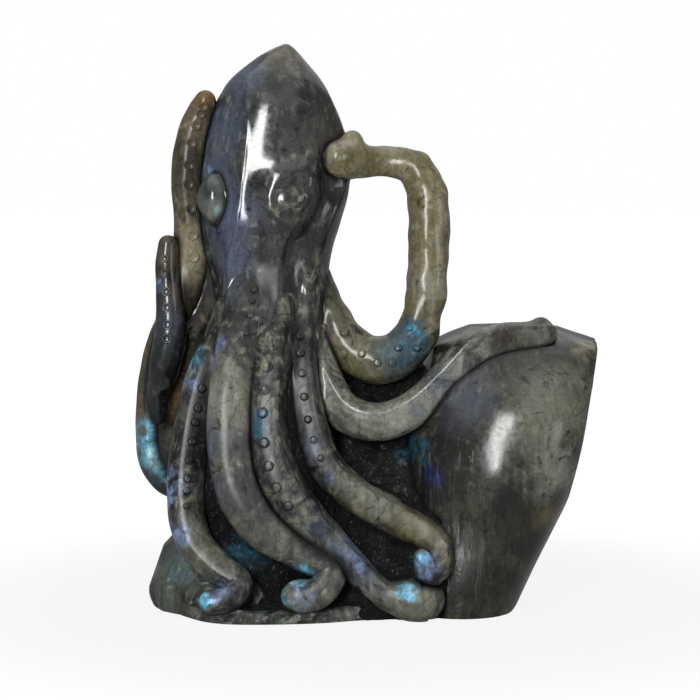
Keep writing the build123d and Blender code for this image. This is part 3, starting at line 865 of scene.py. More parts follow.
def press(bm, spots):
    """Raises or sinks round spots of the skin."""
    bm.normal_update()
    for centre, radius, height in spots:
        middle = Vector(centre) * MILLIMETRE
        for vert in bm.verts:
            away = (vert.co - middle).length / (radius * MILLIMETRE)
            if away < SPOT_REACH:
                vert.co += vert.normal * (height * MILLIMETRE * math.exp(-away * away))


def saw(bm, point, out):
    """Cuts off what lies beyond a plane; gives the edges round the cut and the face that closes it."""
    everything = bm.verts[:] + bm.edges[:] + bm.faces[:]
    cut = bmesh.ops.bisect_plane(bm, geom=everything, plane_co=point, plane_no=out, clear_outer=True)
    rim = [item for item in cut["geom_cut"] if isinstance(item, bmesh.types.BMEdge)]
    faces = bmesh.ops.edgeloop_fill(bm, edges=rim)["faces"] if rim else []
    return rim, faces


def settle(bm):
    """Keeps a form above the plane that it stands on."""
    for vert in bm.verts:
        vert.co.z = max(vert.co.z, 0.0)


def add_piece(name, bm, material, nodes, levels=0, sharp=None):
    """Turns a finished shape into a piece of the figure that stands for its nodes."""
    mesh = bpy.data.meshes.new(name)
    bm.to_mesh(mesh)
    bm.free()
    mesh.shade_smooth()
    if sharp is not None:
        mesh.set_sharp_from_angle(angle=math.radians(sharp))
    piece = bpy.data.objects.new(name, mesh)
    bpy.context.scene.collection.objects.link(piece)
    mesh.materials.append(material)
    if levels:
        surface = piece.modifiers.new("Smooth Skin", "SUBSURF")
        surface.levels = levels
        surface.render_levels = levels
    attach(piece, "root")
    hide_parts(*nodes)
    return piece


def skin_tree(piece):
    """A search tree of a piece's skin."""
    bm = bmesh.new()
    bm.from_mesh(piece.data)
    tree = BVHTree.FromBMesh(bm)
    bm.free()
    return tree


# Stone: nodes, shared effects and materials


def add_node(tree, kind, inputs=None, **settings):
    """A shader node with its settings and input values."""
    node = tree.nodes.new(kind)
    for key, value in settings.items():
        setattr(node, key, value)
    for key, value in (inputs or {}).items():
        if isinstance(value, bpy.types.NodeSocket):
            tree.links.new(value, node.inputs[key])
        else:
            node.inputs[key].default_value = value
    return node


def math_node(tree, operation, first, second=0.0):
    """The result of one sum with values."""
    return add_node(tree, "ShaderNodeMath", {0: first, 1: second}, operation=operation).outputs[0]


def plus(tree, first, second):
    """Two values together."""
    return math_node(tree, "ADD", first, second)


def minus(tree, first, second):
    """One value less another."""
    return math_node(tree, "SUBTRACT", first, second)


def times(tree, first, second):
    """One value times another."""
    return math_node(tree, "MULTIPLY", first, second)


def larger(tree, first, second):
    """The larger of two values."""
    return math_node(tree, "MAXIMUM", first, second)


def vector_node(tree, operation, first, second):
    """The result of one sum with vectors."""
    return add_node(tree, "ShaderNodeVectorMath", {0: first, 1: second}, operation=operation).outputs[0]


def scaled(tree, vector, factor):
    """A vector or a colour times a value."""
    return add_node(tree, "ShaderNodeVectorMath", {0: vector, "Scale": factor}, operation="SCALE").outputs[0]


def length(tree, vector):
    """The length of a vector."""
    return add_node(tree, "ShaderNodeVectorMath", {0: vector}, operation="LENGTH").outputs["Value"]


def ramp(tree, value, low, high, start=0.0, end=1.0):
    """A value taken smoothly from one range to another."""
    node = add_node(
        tree,
        "ShaderNodeMapRange",
        {"Value": value, "From Min": low, "From Max": high, "To Min": start, "To Max": end},
        interpolation_type="SMOOTHSTEP",
    )
    return node.outputs["Result"]


def mix_colour(tree, factor, first, second):
    """One colour over another."""
    return add_node(tree, "ShaderNodeMix", {0: factor, 6: first, 7: second}, data_type="RGBA").outputs[2]


def cloud(tree, vector, scale, detail=3.0, distortion=0.0, roughness=0.5):
    """Soft noise at a given number of clouds to the metre."""
    grain = {"Scale": scale, "Detail": detail, "Roughness": roughness, "Distortion": distortion}
    return add_node(tree, "ShaderNodeTexNoise", {"Vector": vector, **grain}).outputs["Fac"]


def cells(tree, vector, scale, feature="F1"):
    """Distances in a pattern of cells."""
    node = add_node(tree, "ShaderNodeTexVoronoi", {"Vector": vector, "Scale": scale}, feature=feature)
    return node.outputs["Distance"]


def stretched(tree, vector, scale, rotation=(0.0, 0.0, 0.0)):
    """Coordinates that draw a pattern out along one axis, turned if asked."""
    node = add_node(tree, "ShaderNodeMapping", {"Vector": vector, "Rotation": rotation, "Scale": scale})
    return node.outputs[0]


def bent(tree, vector, scale, detail, reach):
    """Coordinates that noise has pushed about."""
    push = add_node(tree, "ShaderNodeTexNoise", {"Vector": vector, "Scale": scale, "Detail": detail})
    return vector_node(tree, "ADD", vector, scaled(tree, push.outputs["Color"], reach))


def new_group(name, inputs, outputs):
    """An empty shader group with its named sockets, by kind, and what is given to it."""
    tree = bpy.data.node_groups.new(name, "ShaderNodeTree")
    for way, sockets in (("INPUT", inputs), ("OUTPUT", outputs)):
        for label, kind in sockets.items():
            tree.interface.new_socket(label, in_out=way, socket_type="NodeSocket" + kind)
    return tree, tree.nodes.new("NodeGroupInput").outputs


def end_group(tree, results):
    """Puts a shader group's results out."""
    add_node(tree, "NodeGroupOutput", results).is_active_output = True
    return tree


def mottle_group():
    """Cloudy feldspar: dark, middle and pale stone, cleavage streaks, black cracks, flecks and fine grain."""
    tree, given = new_group(
        "Feldspar Mottle",
        {
            "Vector": "Vector",
            "Dark": "Color",
            "Middle": "Color",
            "Pale": "Color",
            "Paleness": "Float",
            "Veining": "Float",
            "Dullness": "Float",
        },
        {"Color": "Color", "Grain": "Float", "Marks": "Float", "Height": "Float", "Roughness": "Float"},
    )
    vector = given["Vector"]
    large = cloud(tree, vector, 52.0, 4.0, 1.2)
    middle = cloud(tree, vector, 135.0, 5.0, 1.6, 0.55)
    fine = cloud(tree, vector, 800.0, 5.0, 0.3, 0.65)
    streak = cloud(tree, stretched(tree, vector, (1.0, 1.0, 0.16), (0.5, 0.45, 0.4)), 400.0, 4.0, 0.9, 0.55)
    body = mix_colour(tree, ramp(tree, large, 0.41, 0.55), given["Dark"], given["Middle"])
    light = plus(tree, times(tree, middle, 0.75), times(tree, streak, 0.25))
    light = plus(tree, light, minus(tree, given["Paleness"], 0.5))
    body = mix_colour(tree, ramp(tree, light, 0.39, 0.56), body, given["Pale"])
    smoke = minus(tree, cloud(tree, vector, 34.0, 4.0, 2.8), 0.5)
    smoke = ramp(tree, math_node(tree, "ABSOLUTE", smoke), 0.0, 0.055, 0.85, 0.0)
    body = mix_colour(tree, times(tree, smoke, given["Veining"]), body, given["Dark"])
    grain = times(tree, ramp(tree, fine, 0.34, 0.66, 0.84, 1.16), ramp(tree, streak, 0.32, 0.66, 0.82, 1.14))
    crack = cells(tree, bent(tree, vector, 150.0, 3.0, 0.008), 85.0, "DISTANCE_TO_EDGE")
    crack = times(tree, ramp(tree, crack, 0.0, 0.020, 0.6, 0.0), ramp(tree, large, 0.44, 0.56))
    blot = ramp(tree, plus(tree, middle, times(tree, fine, 0.25)), 0.53, 0.43)
    speck = ramp(tree, fine, 0.65, 0.71)
    marks = larger(tree, crack, larger(tree, times(tree, blot, 0.85), speck))
    return end_group(
        tree,
        {
            "Color": scaled(tree, body, grain),
            "Grain": grain,
            "Marks": times(tree, marks, given["Veining"]),
            "Height": cloud(tree, vector, 130.0, 1.5, 0.3),
            "Roughness": plus(tree, ramp(tree, fine, 0.3, 0.7, 0.09, 0.19), given["Dullness"]),
        },
    )


def patch_group():
    """A patch in the stone around a point, with a ragged edge, that reaches deep into it."""
    tree, given = new_group(
        "Stone Patch",
        {
            "Vector": "Vector",
            "Centre": "Vector",
            "Radius": "Float",
            "Strength": "Float",
            "Ragged": "Float",
            "Soft": "Float",
        },
        {"Mask": "Float"},
    )
    away = vector_node(tree, "SUBTRACT", given["Vector"], given["Centre"])
    away = length(tree, vector_node(tree, "MULTIPLY", away, (1.0, 0.5, 1.0)))
    away = math_node(tree, "DIVIDE", away, given["Radius"])
    away = plus(tree, away, times(tree, minus(tree, given["Ragged"], 0.5), 1.5))
    edge = plus(tree, 1.0, times(tree, given["Soft"], 0.4))
    mask = ramp(tree, away, edge, minus(tree, 0.85, given["Soft"]))
    return end_group(tree, {"Mask": times(tree, mask, given["Strength"])})


def rough_group():
    """Broken, unpolished stone: grit, pits, and bright cleavage specks that are partly pale crystal and
    partly painted glint.
    """
    tree, given = new_group(
        "Broken Stone",
        {"Vector": "Vector", "Dark": "Color", "Light": "Color", "Gloss": "Float"},
        {"Color": "Color", "Grain": "Float", "Height": "Float", "Roughness": "Float"},
    )
    vector = given["Vector"]
    coarse = cloud(tree, vector, 110.0, 6.0, 0.6, 0.65)
    grit = cloud(tree, vector, 1100.0, 5.0, 0.3, 0.7)
    body = mix_colour(tree, ramp(tree, coarse, 0.35, 0.70), given["Dark"], given["Light"])
    needle = cloud(tree, stretched(tree, vector, (1.0, 1.0, 0.22)), 620.0, 4.0, 0.5, 0.6)
    needle = times(tree, ramp(tree, needle, 0.56, 0.68), ramp(tree, coarse, 0.48, 0.62))
    glint = larger(tree, ramp(tree, grit, 0.58, 0.68), needle)
    return end_group(
        tree,
        {
            # Specks and needles are lightened to the glint colour: partly their own pale colour, partly
            # painted glint.
            "Color": mix_colour(tree, times(tree, glint, 0.45), body, GLINT),
            "Grain": ramp(tree, coarse, 0.3, 0.7, 0.6, 1.4),
            "Height": plus(tree, coarse, times(tree, grit, 0.5)),
            "Roughness": minus(tree, ramp(tree, glint, 0.0, 1.0, 0.62, 0.32), given["Gloss"]),
        },
    )


def flake_group():
    """Shallow scars with sharp rims where flakes were struck off."""
    tree, given = new_group("Flake Scars", {"Vector": "Vector"}, {"Height": "Float"})
    vector = bent(tree, given["Vector"], 90.0, 2.0, 0.010)
    small = times(tree, cells(tree, vector, 260.0), 0.3)
    return end_group(tree, {"Height": plus(tree, cells(tree, vector, 95.0), small)})


def group_named(name, make):
    """A shader group, made the first time that it is asked for."""
    return bpy.data.node_groups.get(name) or make()


def colour_named(name):
    """One of the stone's colours, with its alpha."""
    return (*getattr(bpy.context.scene.octopus_colours, name), 1.0)


def new_material(name):
    """An empty material, its tree, its coordinates and its surface shader."""
    material = bpy.data.materials.new(name)
    material.use_nodes = True
    tree = material.node_tree
    tree.nodes.clear()
    vector = tree.nodes.new("ShaderNodeTexCoord").outputs["Object"]
    surface = tree.nodes.new("ShaderNodeBsdfPrincipled")
    add_node(tree, "ShaderNodeOutputMaterial", {"Surface": surface.outputs[0]})
    return material, tree, vector, surface


def add_patches(tree, vector, colour, grain, patches):
    """Lays patches over a stone colour, flash and sheen among them as painted reflection; gives the colour,
    and the masks of flashing, raw and dull stone.
    """
    ragged = cloud(tree, vector, 190.0, 4.0, 0.8)
    calm = plus(tree, times(tree, ragged, 0.35), 0.325)
    plates = cloud(tree, stretched(tree, vector, (1.0, 0.12, 1.0), (0.3, 0.7, 0.9)), 900.0, 2.0, 0.4)
    plates = times(tree, ramp(tree, plates, 0.38, 0.62, 0.55, 1.0), ramp(tree, ragged, 0.62, 0.40, 0.30, 1.0))
    masks = {}
    for kind, centre, radius, hue, strength in patches:
        softness, effect = PATCH_KINDS[kind]
        patch = add_node(
            tree,
            "ShaderNodeGroup",
            node_tree=group_named("Stone Patch", patch_group),
            inputs={
                "Vector": vector,
                "Centre": Vector(centre) * MILLIMETRE,
                "Radius": radius * MILLIMETRE,
                "Strength": strength,
                "Ragged": calm if kind == "sheen" else ragged,
                "Soft": softness,
            },
        )
        mask = patch.outputs["Mask"]
        if kind == "flash":
            mask = times(tree, mask, plates)
        colour = mix_colour(tree, mask, colour, scaled(tree, colour_named(hue)[:3], grain))
        if effect is not None:
            masks[effect] = larger(tree, masks[effect], mask) if effect in masks else mask
    return colour, masks


def paint_groove_shade(tree, colour, strength):
    """Darkens a colour deep in the carver's grooves: painted shade where one form meets the next."""
    groove = add_node(tree, "ShaderNodeAttribute", attribute_name="groove").outputs["Fac"]
    return mix_colour(tree, ramp(tree, groove, 0.10, 0.85, 0.0, strength), colour, colour_named("vein"))


def polished_stone(name, colours, paleness, veining, dullness, from_head, patches):
    """Polished stone with its own clouds, cracks and tints, and painted flash and sheen; raw where the polish
    stops.
    """
    material, tree, vector, surface = new_material(name)
    hues = [colour_named(colour) for colour in colours]
    if from_head:
        up = add_node(tree, "ShaderNodeSeparateXYZ", {0: vector}).outputs["Z"]
        head = ramp(tree, up, *HEAD_STONE_HEIGHTS)
        hues = [mix_colour(tree, head, hue, colour_named(root)) for hue, root in zip(hues, HEAD_COLOURS)]
    mottle = add_node(
        tree,
        "ShaderNodeGroup",
        node_tree=group_named("Feldspar Mottle", mottle_group),
        inputs={
            "Vector": vector,
            "Dark": hues[0],
            "Middle": hues[1],
            "Pale": hues[2],
            "Paleness": paleness,
            "Veining": veining,
            "Dullness": dullness,
        },
    ).outputs
    colour, masks = add_patches(tree, vector, mottle["Color"], mottle["Grain"], patches)
    colour = mix_colour(tree, mottle["Marks"], colour, colour_named("vein"))
    height = mottle["Height"]
    roughness = mottle["Roughness"]
    if "raw" in masks:
        needle = cloud(tree, stretched(tree, vector, (1.0, 1.0, 0.14)), 520.0, 5.0, 0.8, 0.65)
        needle = times(tree, ramp(tree, needle, 0.50, 0.66), masks["raw"])
        colour = mix_colour(tree, times(tree, needle, 0.4), colour, colour_named("grey_green"))
        height = plus(tree, height, times(tree, needle, 1.5))
        roughness = plus(tree, roughness, times(tree, masks["raw"], 0.15))
    if "dull" in masks:
        roughness = plus(tree, roughness, times(tree, masks["dull"], 0.45))
    if "flash" in masks:
        tree.links.new(times(tree, masks["flash"], 0.25), surface.inputs["Metallic"])
    # Painted shade darkens the colour in the grooves.
    tree.links.new(paint_groove_shade(tree, colour, 0.92), surface.inputs["Base Color"])
    tree.links.new(roughness, surface.inputs["Roughness"])
    surface.inputs["IOR"].default_value = STONE_IOR
    surface.inputs["Specular IOR Level"].default_value = 0.5 - dullness * 1.2
    relief = add_node(tree, "ShaderNodeBump", {"Height": height, "Strength": 0.20, "Distance": POLISH_RELIEF})
    tree.links.new(relief.outputs[0], surface.inputs["Normal"])
    return material


def broken_stone(name, dark, light, grit, gloss, patches):
    """Unpolished stone with grit and glints, and with flake scars where it is glossy."""
    material, tree, vector, surface = new_material(name)
    rough = add_node(
        tree,
        "ShaderNodeGroup",
        node_tree=group_named("Broken Stone", rough_group),
        inputs={"Vector": vector, "Dark": colour_named(dark), "Light": colour_named(light), "Gloss": gloss},
    ).outputs
    colour, _ = add_patches(tree, vector, rough["Color"], rough["Grain"], patches)
    # Painted shade darkens the colour in the grooves.
    tree.links.new(paint_groove_shade(tree, colour, 0.6), surface.inputs["Base Color"])
    tree.links.new(rough["Roughness"], surface.inputs["Roughness"])
    surface.inputs["Specular IOR Level"].default_value = 0.05 + gloss * 1.4
    depth = {"Height": rough["Height"], "Strength": grit, "Distance": GRIT_RELIEF}
    relief = add_node(tree, "ShaderNodeBump", depth)
    if gloss:
        flakes = add_node(
            tree, "ShaderNodeGroup", {"Vector": vector}, node_tree=group_named("Flake Scars", flake_group)
        )
        depth = {"Height": flakes.outputs["Height"], "Strength": 1.0, "Distance": FLAKE_RELIEF}
        tree.links.new(add_node(tree, "ShaderNodeBump", depth).outputs[0], relief.inputs["Normal"])
    tree.links.new(relief.outputs[0], surface.inputs["Normal"])
    return material


def stone(name):
    """One of the stones, made the first time that it is asked for."""
    made = bpy.data.materials.get(name)
    if made is not None:
        return made
    if name in POLISHED_STONES:
        return polished_stone(name, *POLISHED_STONES[name])
    return broken_stone(name, *BROKEN_STONES[name])


def arm_stone(name):
    """The stone of an arm, which its suckers share."""
    return stone(name.replace("_", " ") + " stone")


# Shapes


def face_factor(angle, up):
    """How far the head's skin stands from its middle, with the face cut into flat panels."""
    _, crease, ridge = row_at(FACE_LINES, up)
    rise = min(1.0, max(0.0, (up - FACE_FOOT_SHARE) / FACE_FOOT_RUN_SHARE))
    fade = min(1.0, max(0.0, (FACE_TOP_SHARE - up) / FACE_TOP_RUN_SHARE))
    depth = sizes().face_cut * rise * fade
    skin = 1.0 + CREASE_SHARE * depth * math.exp(-(((angle - crease) / CREASE_ANGLE) ** 2))
    edges = (crease - LEFT_PANEL_ANGLE, crease, ridge, ridge + RIGHT_PANEL_ANGLE)
    for low, high, share in zip(edges, edges[1:], PANEL_DEPTH_SHARES):
        if low < angle < high:
            return skin - depth * share * math.sin(math.pi * (angle - low) / (high - low)) ** PANEL_ROUNDING
    return skin


def oval_rings(section_shares, width, depth, steps, segments, factor=None):
    """Level ovals up a body; a factor shapes them by the angle from the front."""
    rings = []
    for up, across, back, width_share, depth_share in curve_rows(section_shares, steps):
        centre = place(across, back, up * sizes().height)
        half_width = width_share * width / 2
        half_depth = depth_share * depth / 2
        ring = []
        for k in range(segments):
            turn = 2 * math.pi * k / segments - math.pi
            reach = factor(math.degrees(turn), up) if factor else 1.0
            spread = Vector((math.sin(turn) * half_width, -math.cos(turn) * half_depth, 0.0))
            ring.append(centre + spread * reach)
        rings.append(ring)
    return rings


def rock_rings(section_shares, rock_size, steps, outline_steps):
    """Level uneven outlines up a rock of a given height, width and depth."""
    height, width, depth = rock_size
    outline = curve_rows(ROCK_OUTLINE_SHARES, outline_steps, closed=True)
    rings = []
    for up, across, back, width_share, depth_share in curve_rows(section_shares, steps):
        centre = place(across, back, up * height)
        half_width = width_share * width / 2
        half_depth = depth_share * depth / 2
        rings.append([centre + Vector((x * half_width, y * half_depth, 0.0)) for x, y in outline])
    return rings


def rounded_end(last, before, angles):
    """Rings that round the end of an arm."""
    centre = Vector(last[:3])
    out = (centre - Vector(before[:3])).normalized()
    turns = [math.radians(angle) for angle in angles]
    return [(*(centre + out * (last[3] * math.sin(turn))), last[3] * math.cos(turn)) for turn in turns]


def arm_rows(name):
    """Centres and radii along an arm, with the rings that round its free ends."""
    thickness, _, _ = ARM_FORMS[name]
    height = sizes().boulder_height if name == "boulder_arm" else sizes().height
    rows = []
    for across, back, up, size in ARM_SHARES[name]:
        rows.append((*place(across, back, up * height), size * thickness / 2))
    rows = curve_rows(rows, ARM_STEPS)
    root = rounded_end(rows[0], rows[1], ROOT_ANGLES) if name == "short_left_arm" else []
    return root + rows + rounded_end(rows[-1], rows[-2], TIP_ANGLES)


def arm_frames(name):
    """Centre, direction, front and side at each ring of an arm, without twist, and its radius."""
    rows = arm_rows(name)
    centres = [Vector(row[:3]) for row in rows]
    front = FRONT
    frames = []
    for i, centre in enumerate(centres):
        way = (centres[min(i + 1, len(centres) - 1)] - centres[max(i - 1, 0)]).normalized()
        front = (front - way * front.dot(way)).normalized()
        frames.append((centre, way, front, way.cross(front), rows[i][3]))
    return frames


def arm_ring(frame_row, ridge, rise):
    """One ring of an arm: round, with a narrow ridge and a flatter face on both sides of it."""
    centre, _, front, side, radius = frame_row
    ring = []
    for k in range(ARM_SEGMENTS):
        turn = 2 * math.pi * k / ARM_SEGMENTS
        off = (math.degrees(turn) - ridge + 180.0) % 360.0 - 180.0
        crest = math.exp(-((off / CREST_ANGLE) ** 2))
        flat = math.exp(-(((abs(off) - FLAT_MIDDLE_ANGLE) / FLAT_ANGLE) ** 2))
        reach = radius * (1.0 + rise * (crest - FLAT_DEPTH_SHARE * flat))
        ring.append(centre + (front * math.cos(turn) + side * math.sin(turn)) * reach)
    return ring


class CarvingOperator:
    """What every operator of the carving shares."""

    bl_options = {"REGISTER", "UNDO"}


class OCTOPUS_OT_body(CarvingOperator, bpy.types.Operator):
    """Carve the mantle and head, the eyes and the webs between the arms"""

    bl_idname = "octopus.body"
    bl_label = "Body"

    def execute(self, context):
        size = sizes()
        bm = bmesh.new()
        width = size.mantle_width
        depth = size.mantle_depth
        loft(bm, oval_rings(MANTLE_SECTION_SHARES, width, depth, steps=8, segments=240, factor=face_factor))
        wobble(bm, size.hand_wobble, grain=0.018, seed=3.0)
        press(bm, MANTLE_SPOTS)
        add_piece("mantle_and_head", bm, stone("mantle stone"), ["mantle", "head"])
        for name, (facing, seat, spread, skin) in EYES.items():
            self.eye(name, facing, seat, spread, stone(skin))
        bm = bmesh.new()
        width = size.web_width * WEB_SKIN_SHARE
        depth = size.web_depth * WEB_SKIN_SHARE
        loft(bm, oval_rings(WEB_SECTION_SHARES, width, depth, steps=10, segments=96))
        wobble(bm, size.hand_wobble * 1.5, grain=0.012, seed=5.0)
        add_piece("web_between_arms", bm, stone("web stone"), ["arm_web"])
        bm = bmesh.new()
        width = size.side_web_width
        depth = size.side_web_depth
        loft(bm, oval_rings(SIDE_WEB_SECTION_SHARES, width, depth, steps=8, segments=48))
        wobble(bm, size.hand_wobble, grain=0.010, seed=7.0)
        add_piece("web_beside_raised_arm", bm, stone("side web stone"), ["side_web"])
        return {"FINISHED"}

    def eye(self, name, facing, seat, spread, skin):
        """A raised eye that narrows above and below."""
        size = sizes()
        up, across, back, width, depth = row_at(MANTLE_SECTION_SHARES, EYE_HEIGHT_SHARE)
        turn = math.radians(facing)
        half_width = width * size.mantle_width / 2
        half_depth = depth * size.mantle_depth / 2
        centre = place(across, back, up * size.height)
        centre += Vector((math.cos(turn) * half_width, math.sin(turn) * half_depth, 0.0)) * seat
        bm = bmesh.new()
        bmesh.ops.create_uvsphere(bm, u_segments=48, v_segments=32, radius=1.0)
        for vert in bm.verts:
            narrow = 1.0 - EYE_NARROWING_SHARE * abs(vert.co.z) ** EYE_NARROWING_POWER
            vert.co = Vector((vert.co.x * narrow, vert.co.y * narrow, vert.co.z)) * Vector(spread)
        bmesh.ops.rotate(bm, cent=(0.0, 0.0, 0.0), matrix=Matrix.Rotation(turn, 3, "Z"), verts=bm.verts)
        bmesh.ops.translate(bm, vec=centre, verts=bm.verts)
        add_piece(name + "_bead", bm, skin, [name])


class OCTOPUS_OT_arms(CarvingOperator, bpy.types.Operator):
    """Carve the eight arms"""

    bl_idname = "octopus.arms"
    bl_label = "Arms"

    def execute(self, context):
        for seed, name in enumerate(ARM_SHARES):
            _, ridge, rise = ARM_FORMS[name]
            bm = bmesh.new()
            loft(bm, [arm_ring(row, ridge, rise) for row in arm_frames(name)])
            wobble(bm, sizes().hand_wobble, grain=0.008, seed=11.0 + seed)
            if name == "loop_arm":
                wobble(bm, sizes().hand_wobble * 2.2, grain=0.0055, seed=19.0)
            press(bm, ARM_SPOTS.get(name, []))
            add_piece(name + "_form", bm, arm_stone(name), [name], levels=1)
        return {"FINISHED"}


class OCTOPUS_OT_grooves(CarvingOperator, bpy.types.Operator):
    """Round the grooves where one form of the block runs into the next, and keep how deep each point lies for
    the painted shade there
    """

    bl_idname = "octopus.grooves"
    bl_label = "Grooves"

    def execute(self, context):
        pieces = [bpy.data.objects[name] for name in GROOVE_WIDTHS]
        trees = {piece.name: skin_tree(piece) for piece in pieces}
        for piece in pieces:
            bm = bmesh.new()
            bm.from_mesh(piece.data)
            bm.normal_update()
            # Each point's depth in a groove is kept for the painted shade in the grooves.
            groove_shade = bm.verts.layers.float.new("groove")
            moves = [self.push(piece.name, vert, trees) for vert in bm.verts]
            for vert, (move, near) in zip(bm.verts, moves):
                vert.co += move
                vert[groove_shade] = near
            settle(bm)
            if piece.name.endswith("_form") or piece.name == "mantle_and_head":
                far = [move.length > LEAST_SMOOTHED_PUSH for move, _ in moves]
                pushed = [vert for vert, moved in zip(bm.verts, far) if moved]
                for _ in range(SMOOTHING_ROUNDS):
                    bmesh.ops.smooth_vert(
                        bm, verts=pushed, factor=0.5, use_axis_x=True, use_axis_y=True, use_axis_z=True
                    )
            bm.to_mesh(piece.data)
            bm.free()
        return {"FINISHED"}

    def flow(self, name, other):
        """How widely two forms flow into each other if one is the head, or nothing."""
        if "mantle_and_head" not in (name, other):
            return None
        return HEAD_FLOWS.get(other if name == "mantle_and_head" else name)

    def push(self, name, vert, trees):
        """How a point moves so that its form flows into those beside it, and how deep in a groove it lies."""
        move = Vector((0.0, 0.0, 0.0))
        groove = 0.0
        for other, tree in trees.items():
            if other == name:
                continue
            flow = self.flow(name, other)
            reach = flow or min(GROOVE_WIDTHS[name], GROOVE_WIDTHS[other])
            where, normal, _, away = tree.find_nearest(vert.co, reach)
            if where is None:
                continue
            inside = (vert.co - where).dot(normal) < 0.0
            if flow is None:
                groove = max(groove, 1.0 if inside else 1.0 - away / reach)
            if inside:
                amount = reach / 4 * max(0.0, 1.0 - INNER_FADE * away / reach)
                lean = 0.5
            else:
                amount = (reach - away) ** 2 / (4 * reach)
                lean = 0.5 - 0.5 * away / reach
            amount *= min(1.0, CORNER_GAIN * (1.0 - vert.normal.dot(normal)))
            slope = vert.normal * (1.0 - lean) + normal * lean
            move += slope * (amount / max(slope.length_squared, 0.2))
        if move.length > LONGEST_PUSH:
            move *= LONGEST_PUSH / move.length
        return move, groove


class OCTOPUS_OT_suckers(CarvingOperator, bpy.types.Operator):
    """Carve the rows of suckers along the arms"""

    bl_idname = "octopus.suckers"
    bl_label = "Suckers"

    def execute(self, context):
        for name, (first, last, count, facing, diameter, rings, zigzag) in SUCKERS.items():
            frames = arm_frames(name)
            runs = (len(ARM_SHARES[name]) - 1) * ARM_STEPS
            tree = skin_tree(bpy.data.objects[name + "_form"])
            bm = bmesh.new()
            for i in range(count):
                share = first + (last - first) * i / (count - 1)
                centre, way, _, _, radius = frames[min(round(share * runs), len(frames) - 1)]
                turn = math.radians(facing + (zigzag if i % 2 else -zigzag))
                across = Vector((math.cos(turn), math.sin(turn), 0.0))
                out = (across - way * across.dot(way)).normalized()
                where, normal, _, _ = tree.ray_cast(centre + out * (radius * 3.0), -out)
                if where is not None:
                    width = diameter * (1.0 - SUCKER_TAPER_SHARE * i / count)
                    self.sucker(bm, where, normal, way, width, i < rings)
            add_piece(name + "_sucker_row", bm, arm_stone(name), [name + "_suckers"], levels=2)
        return {"FINISHED"}

    def sucker(self, bm, foot, out, way, diameter, ring):
        """A sucker: a ring with a dimple, or a plain bead."""
        height = sizes().sucker_height
        side = way.cross(out).normalized()
        turned = Matrix((side, out.cross(side), out)).transposed().to_4x4()
        cup = bmesh.ops.create_cone(
            bm,
            cap_ends=True,
            segments=SUCKER_SIDES,
            radius1=diameter * SUCKER_FOOT_SHARE,
            radius2=diameter * SUCKER_TOP_SHARE,
            depth=height * SUCKER_LENGTH_SHARE,
            matrix=Matrix.Translation(foot - out * (height * SUCKER_SINK_SHARE)) @ turned,
        )
        bm.normal_update()
        ends = [face for vert in cup["verts"] for face in vert.link_faces if len(face.verts) == SUCKER_SIDES]
        top = max(ends, key=lambda face: face.normal.dot(out))
        bmesh.ops.inset_region(bm, faces=[top], thickness=diameter * SUCKER_RIM_SHARE, depth=0.0)
        rise = -SUCKER_DIMPLE_SHARE if ring else SUCKER_DOME_SHARE
        bmesh.ops.translate(bm, vec=out * (height * rise), verts=top.verts)


class OCTOPUS_OT_boulder(CarvingOperator, bpy.types.Operator):
    """Shape the polished boulder with its sawn side"""

    bl_idname = "octopus.boulder"
    bl_label = "Boulder"

    def execute(self, context):
        size = sizes()
        rock_size = (size.boulder_height, size.boulder_width, size.boulder_depth)
        bm = bmesh.new()
        loft(bm, rock_rings(BOULDER_SECTION_SHARES, rock_size, steps=10, outline_steps=10))
        for vert in bm.verts:
            if vert.co.y < 0.0:
                turn = BOULDER_TURN * min(1.0, -vert.co.y / BOULDER_TURN_DEPTH)
                vert.co.y += turn * (BOULDER_TURN_MIDDLE - vert.co.x)
        for height, grain, seed in BOULDER_WAVES:
            wobble(bm, height, grain, seed)
        press(bm, BOULDER_SPOTS)
        middle, out, up = SAWN_PLACE_SHARES
        edge = place(middle, 0.0, up * size.boulder_height) + Vector((out * size.boulder_width, 0.0, 0.0))
        lean = math.radians(SAWN_LEAN)
        rim, _ = saw(bm, edge, (math.cos(lean), 0.0, -math.sin(lean)))
        bmesh.ops.bevel(
            bm,
            geom=rim,
            offset=SAWN_EDGE,
            offset_type="OFFSET",
            affect="EDGES",
            segments=3,
            profile=0.5,
            material=-1,
        )
        settle(bm)
        add_piece("polished_boulder", bm, stone("boulder stone"), ["boulder"], sharp=40.0)
        return {"FINISHED"}


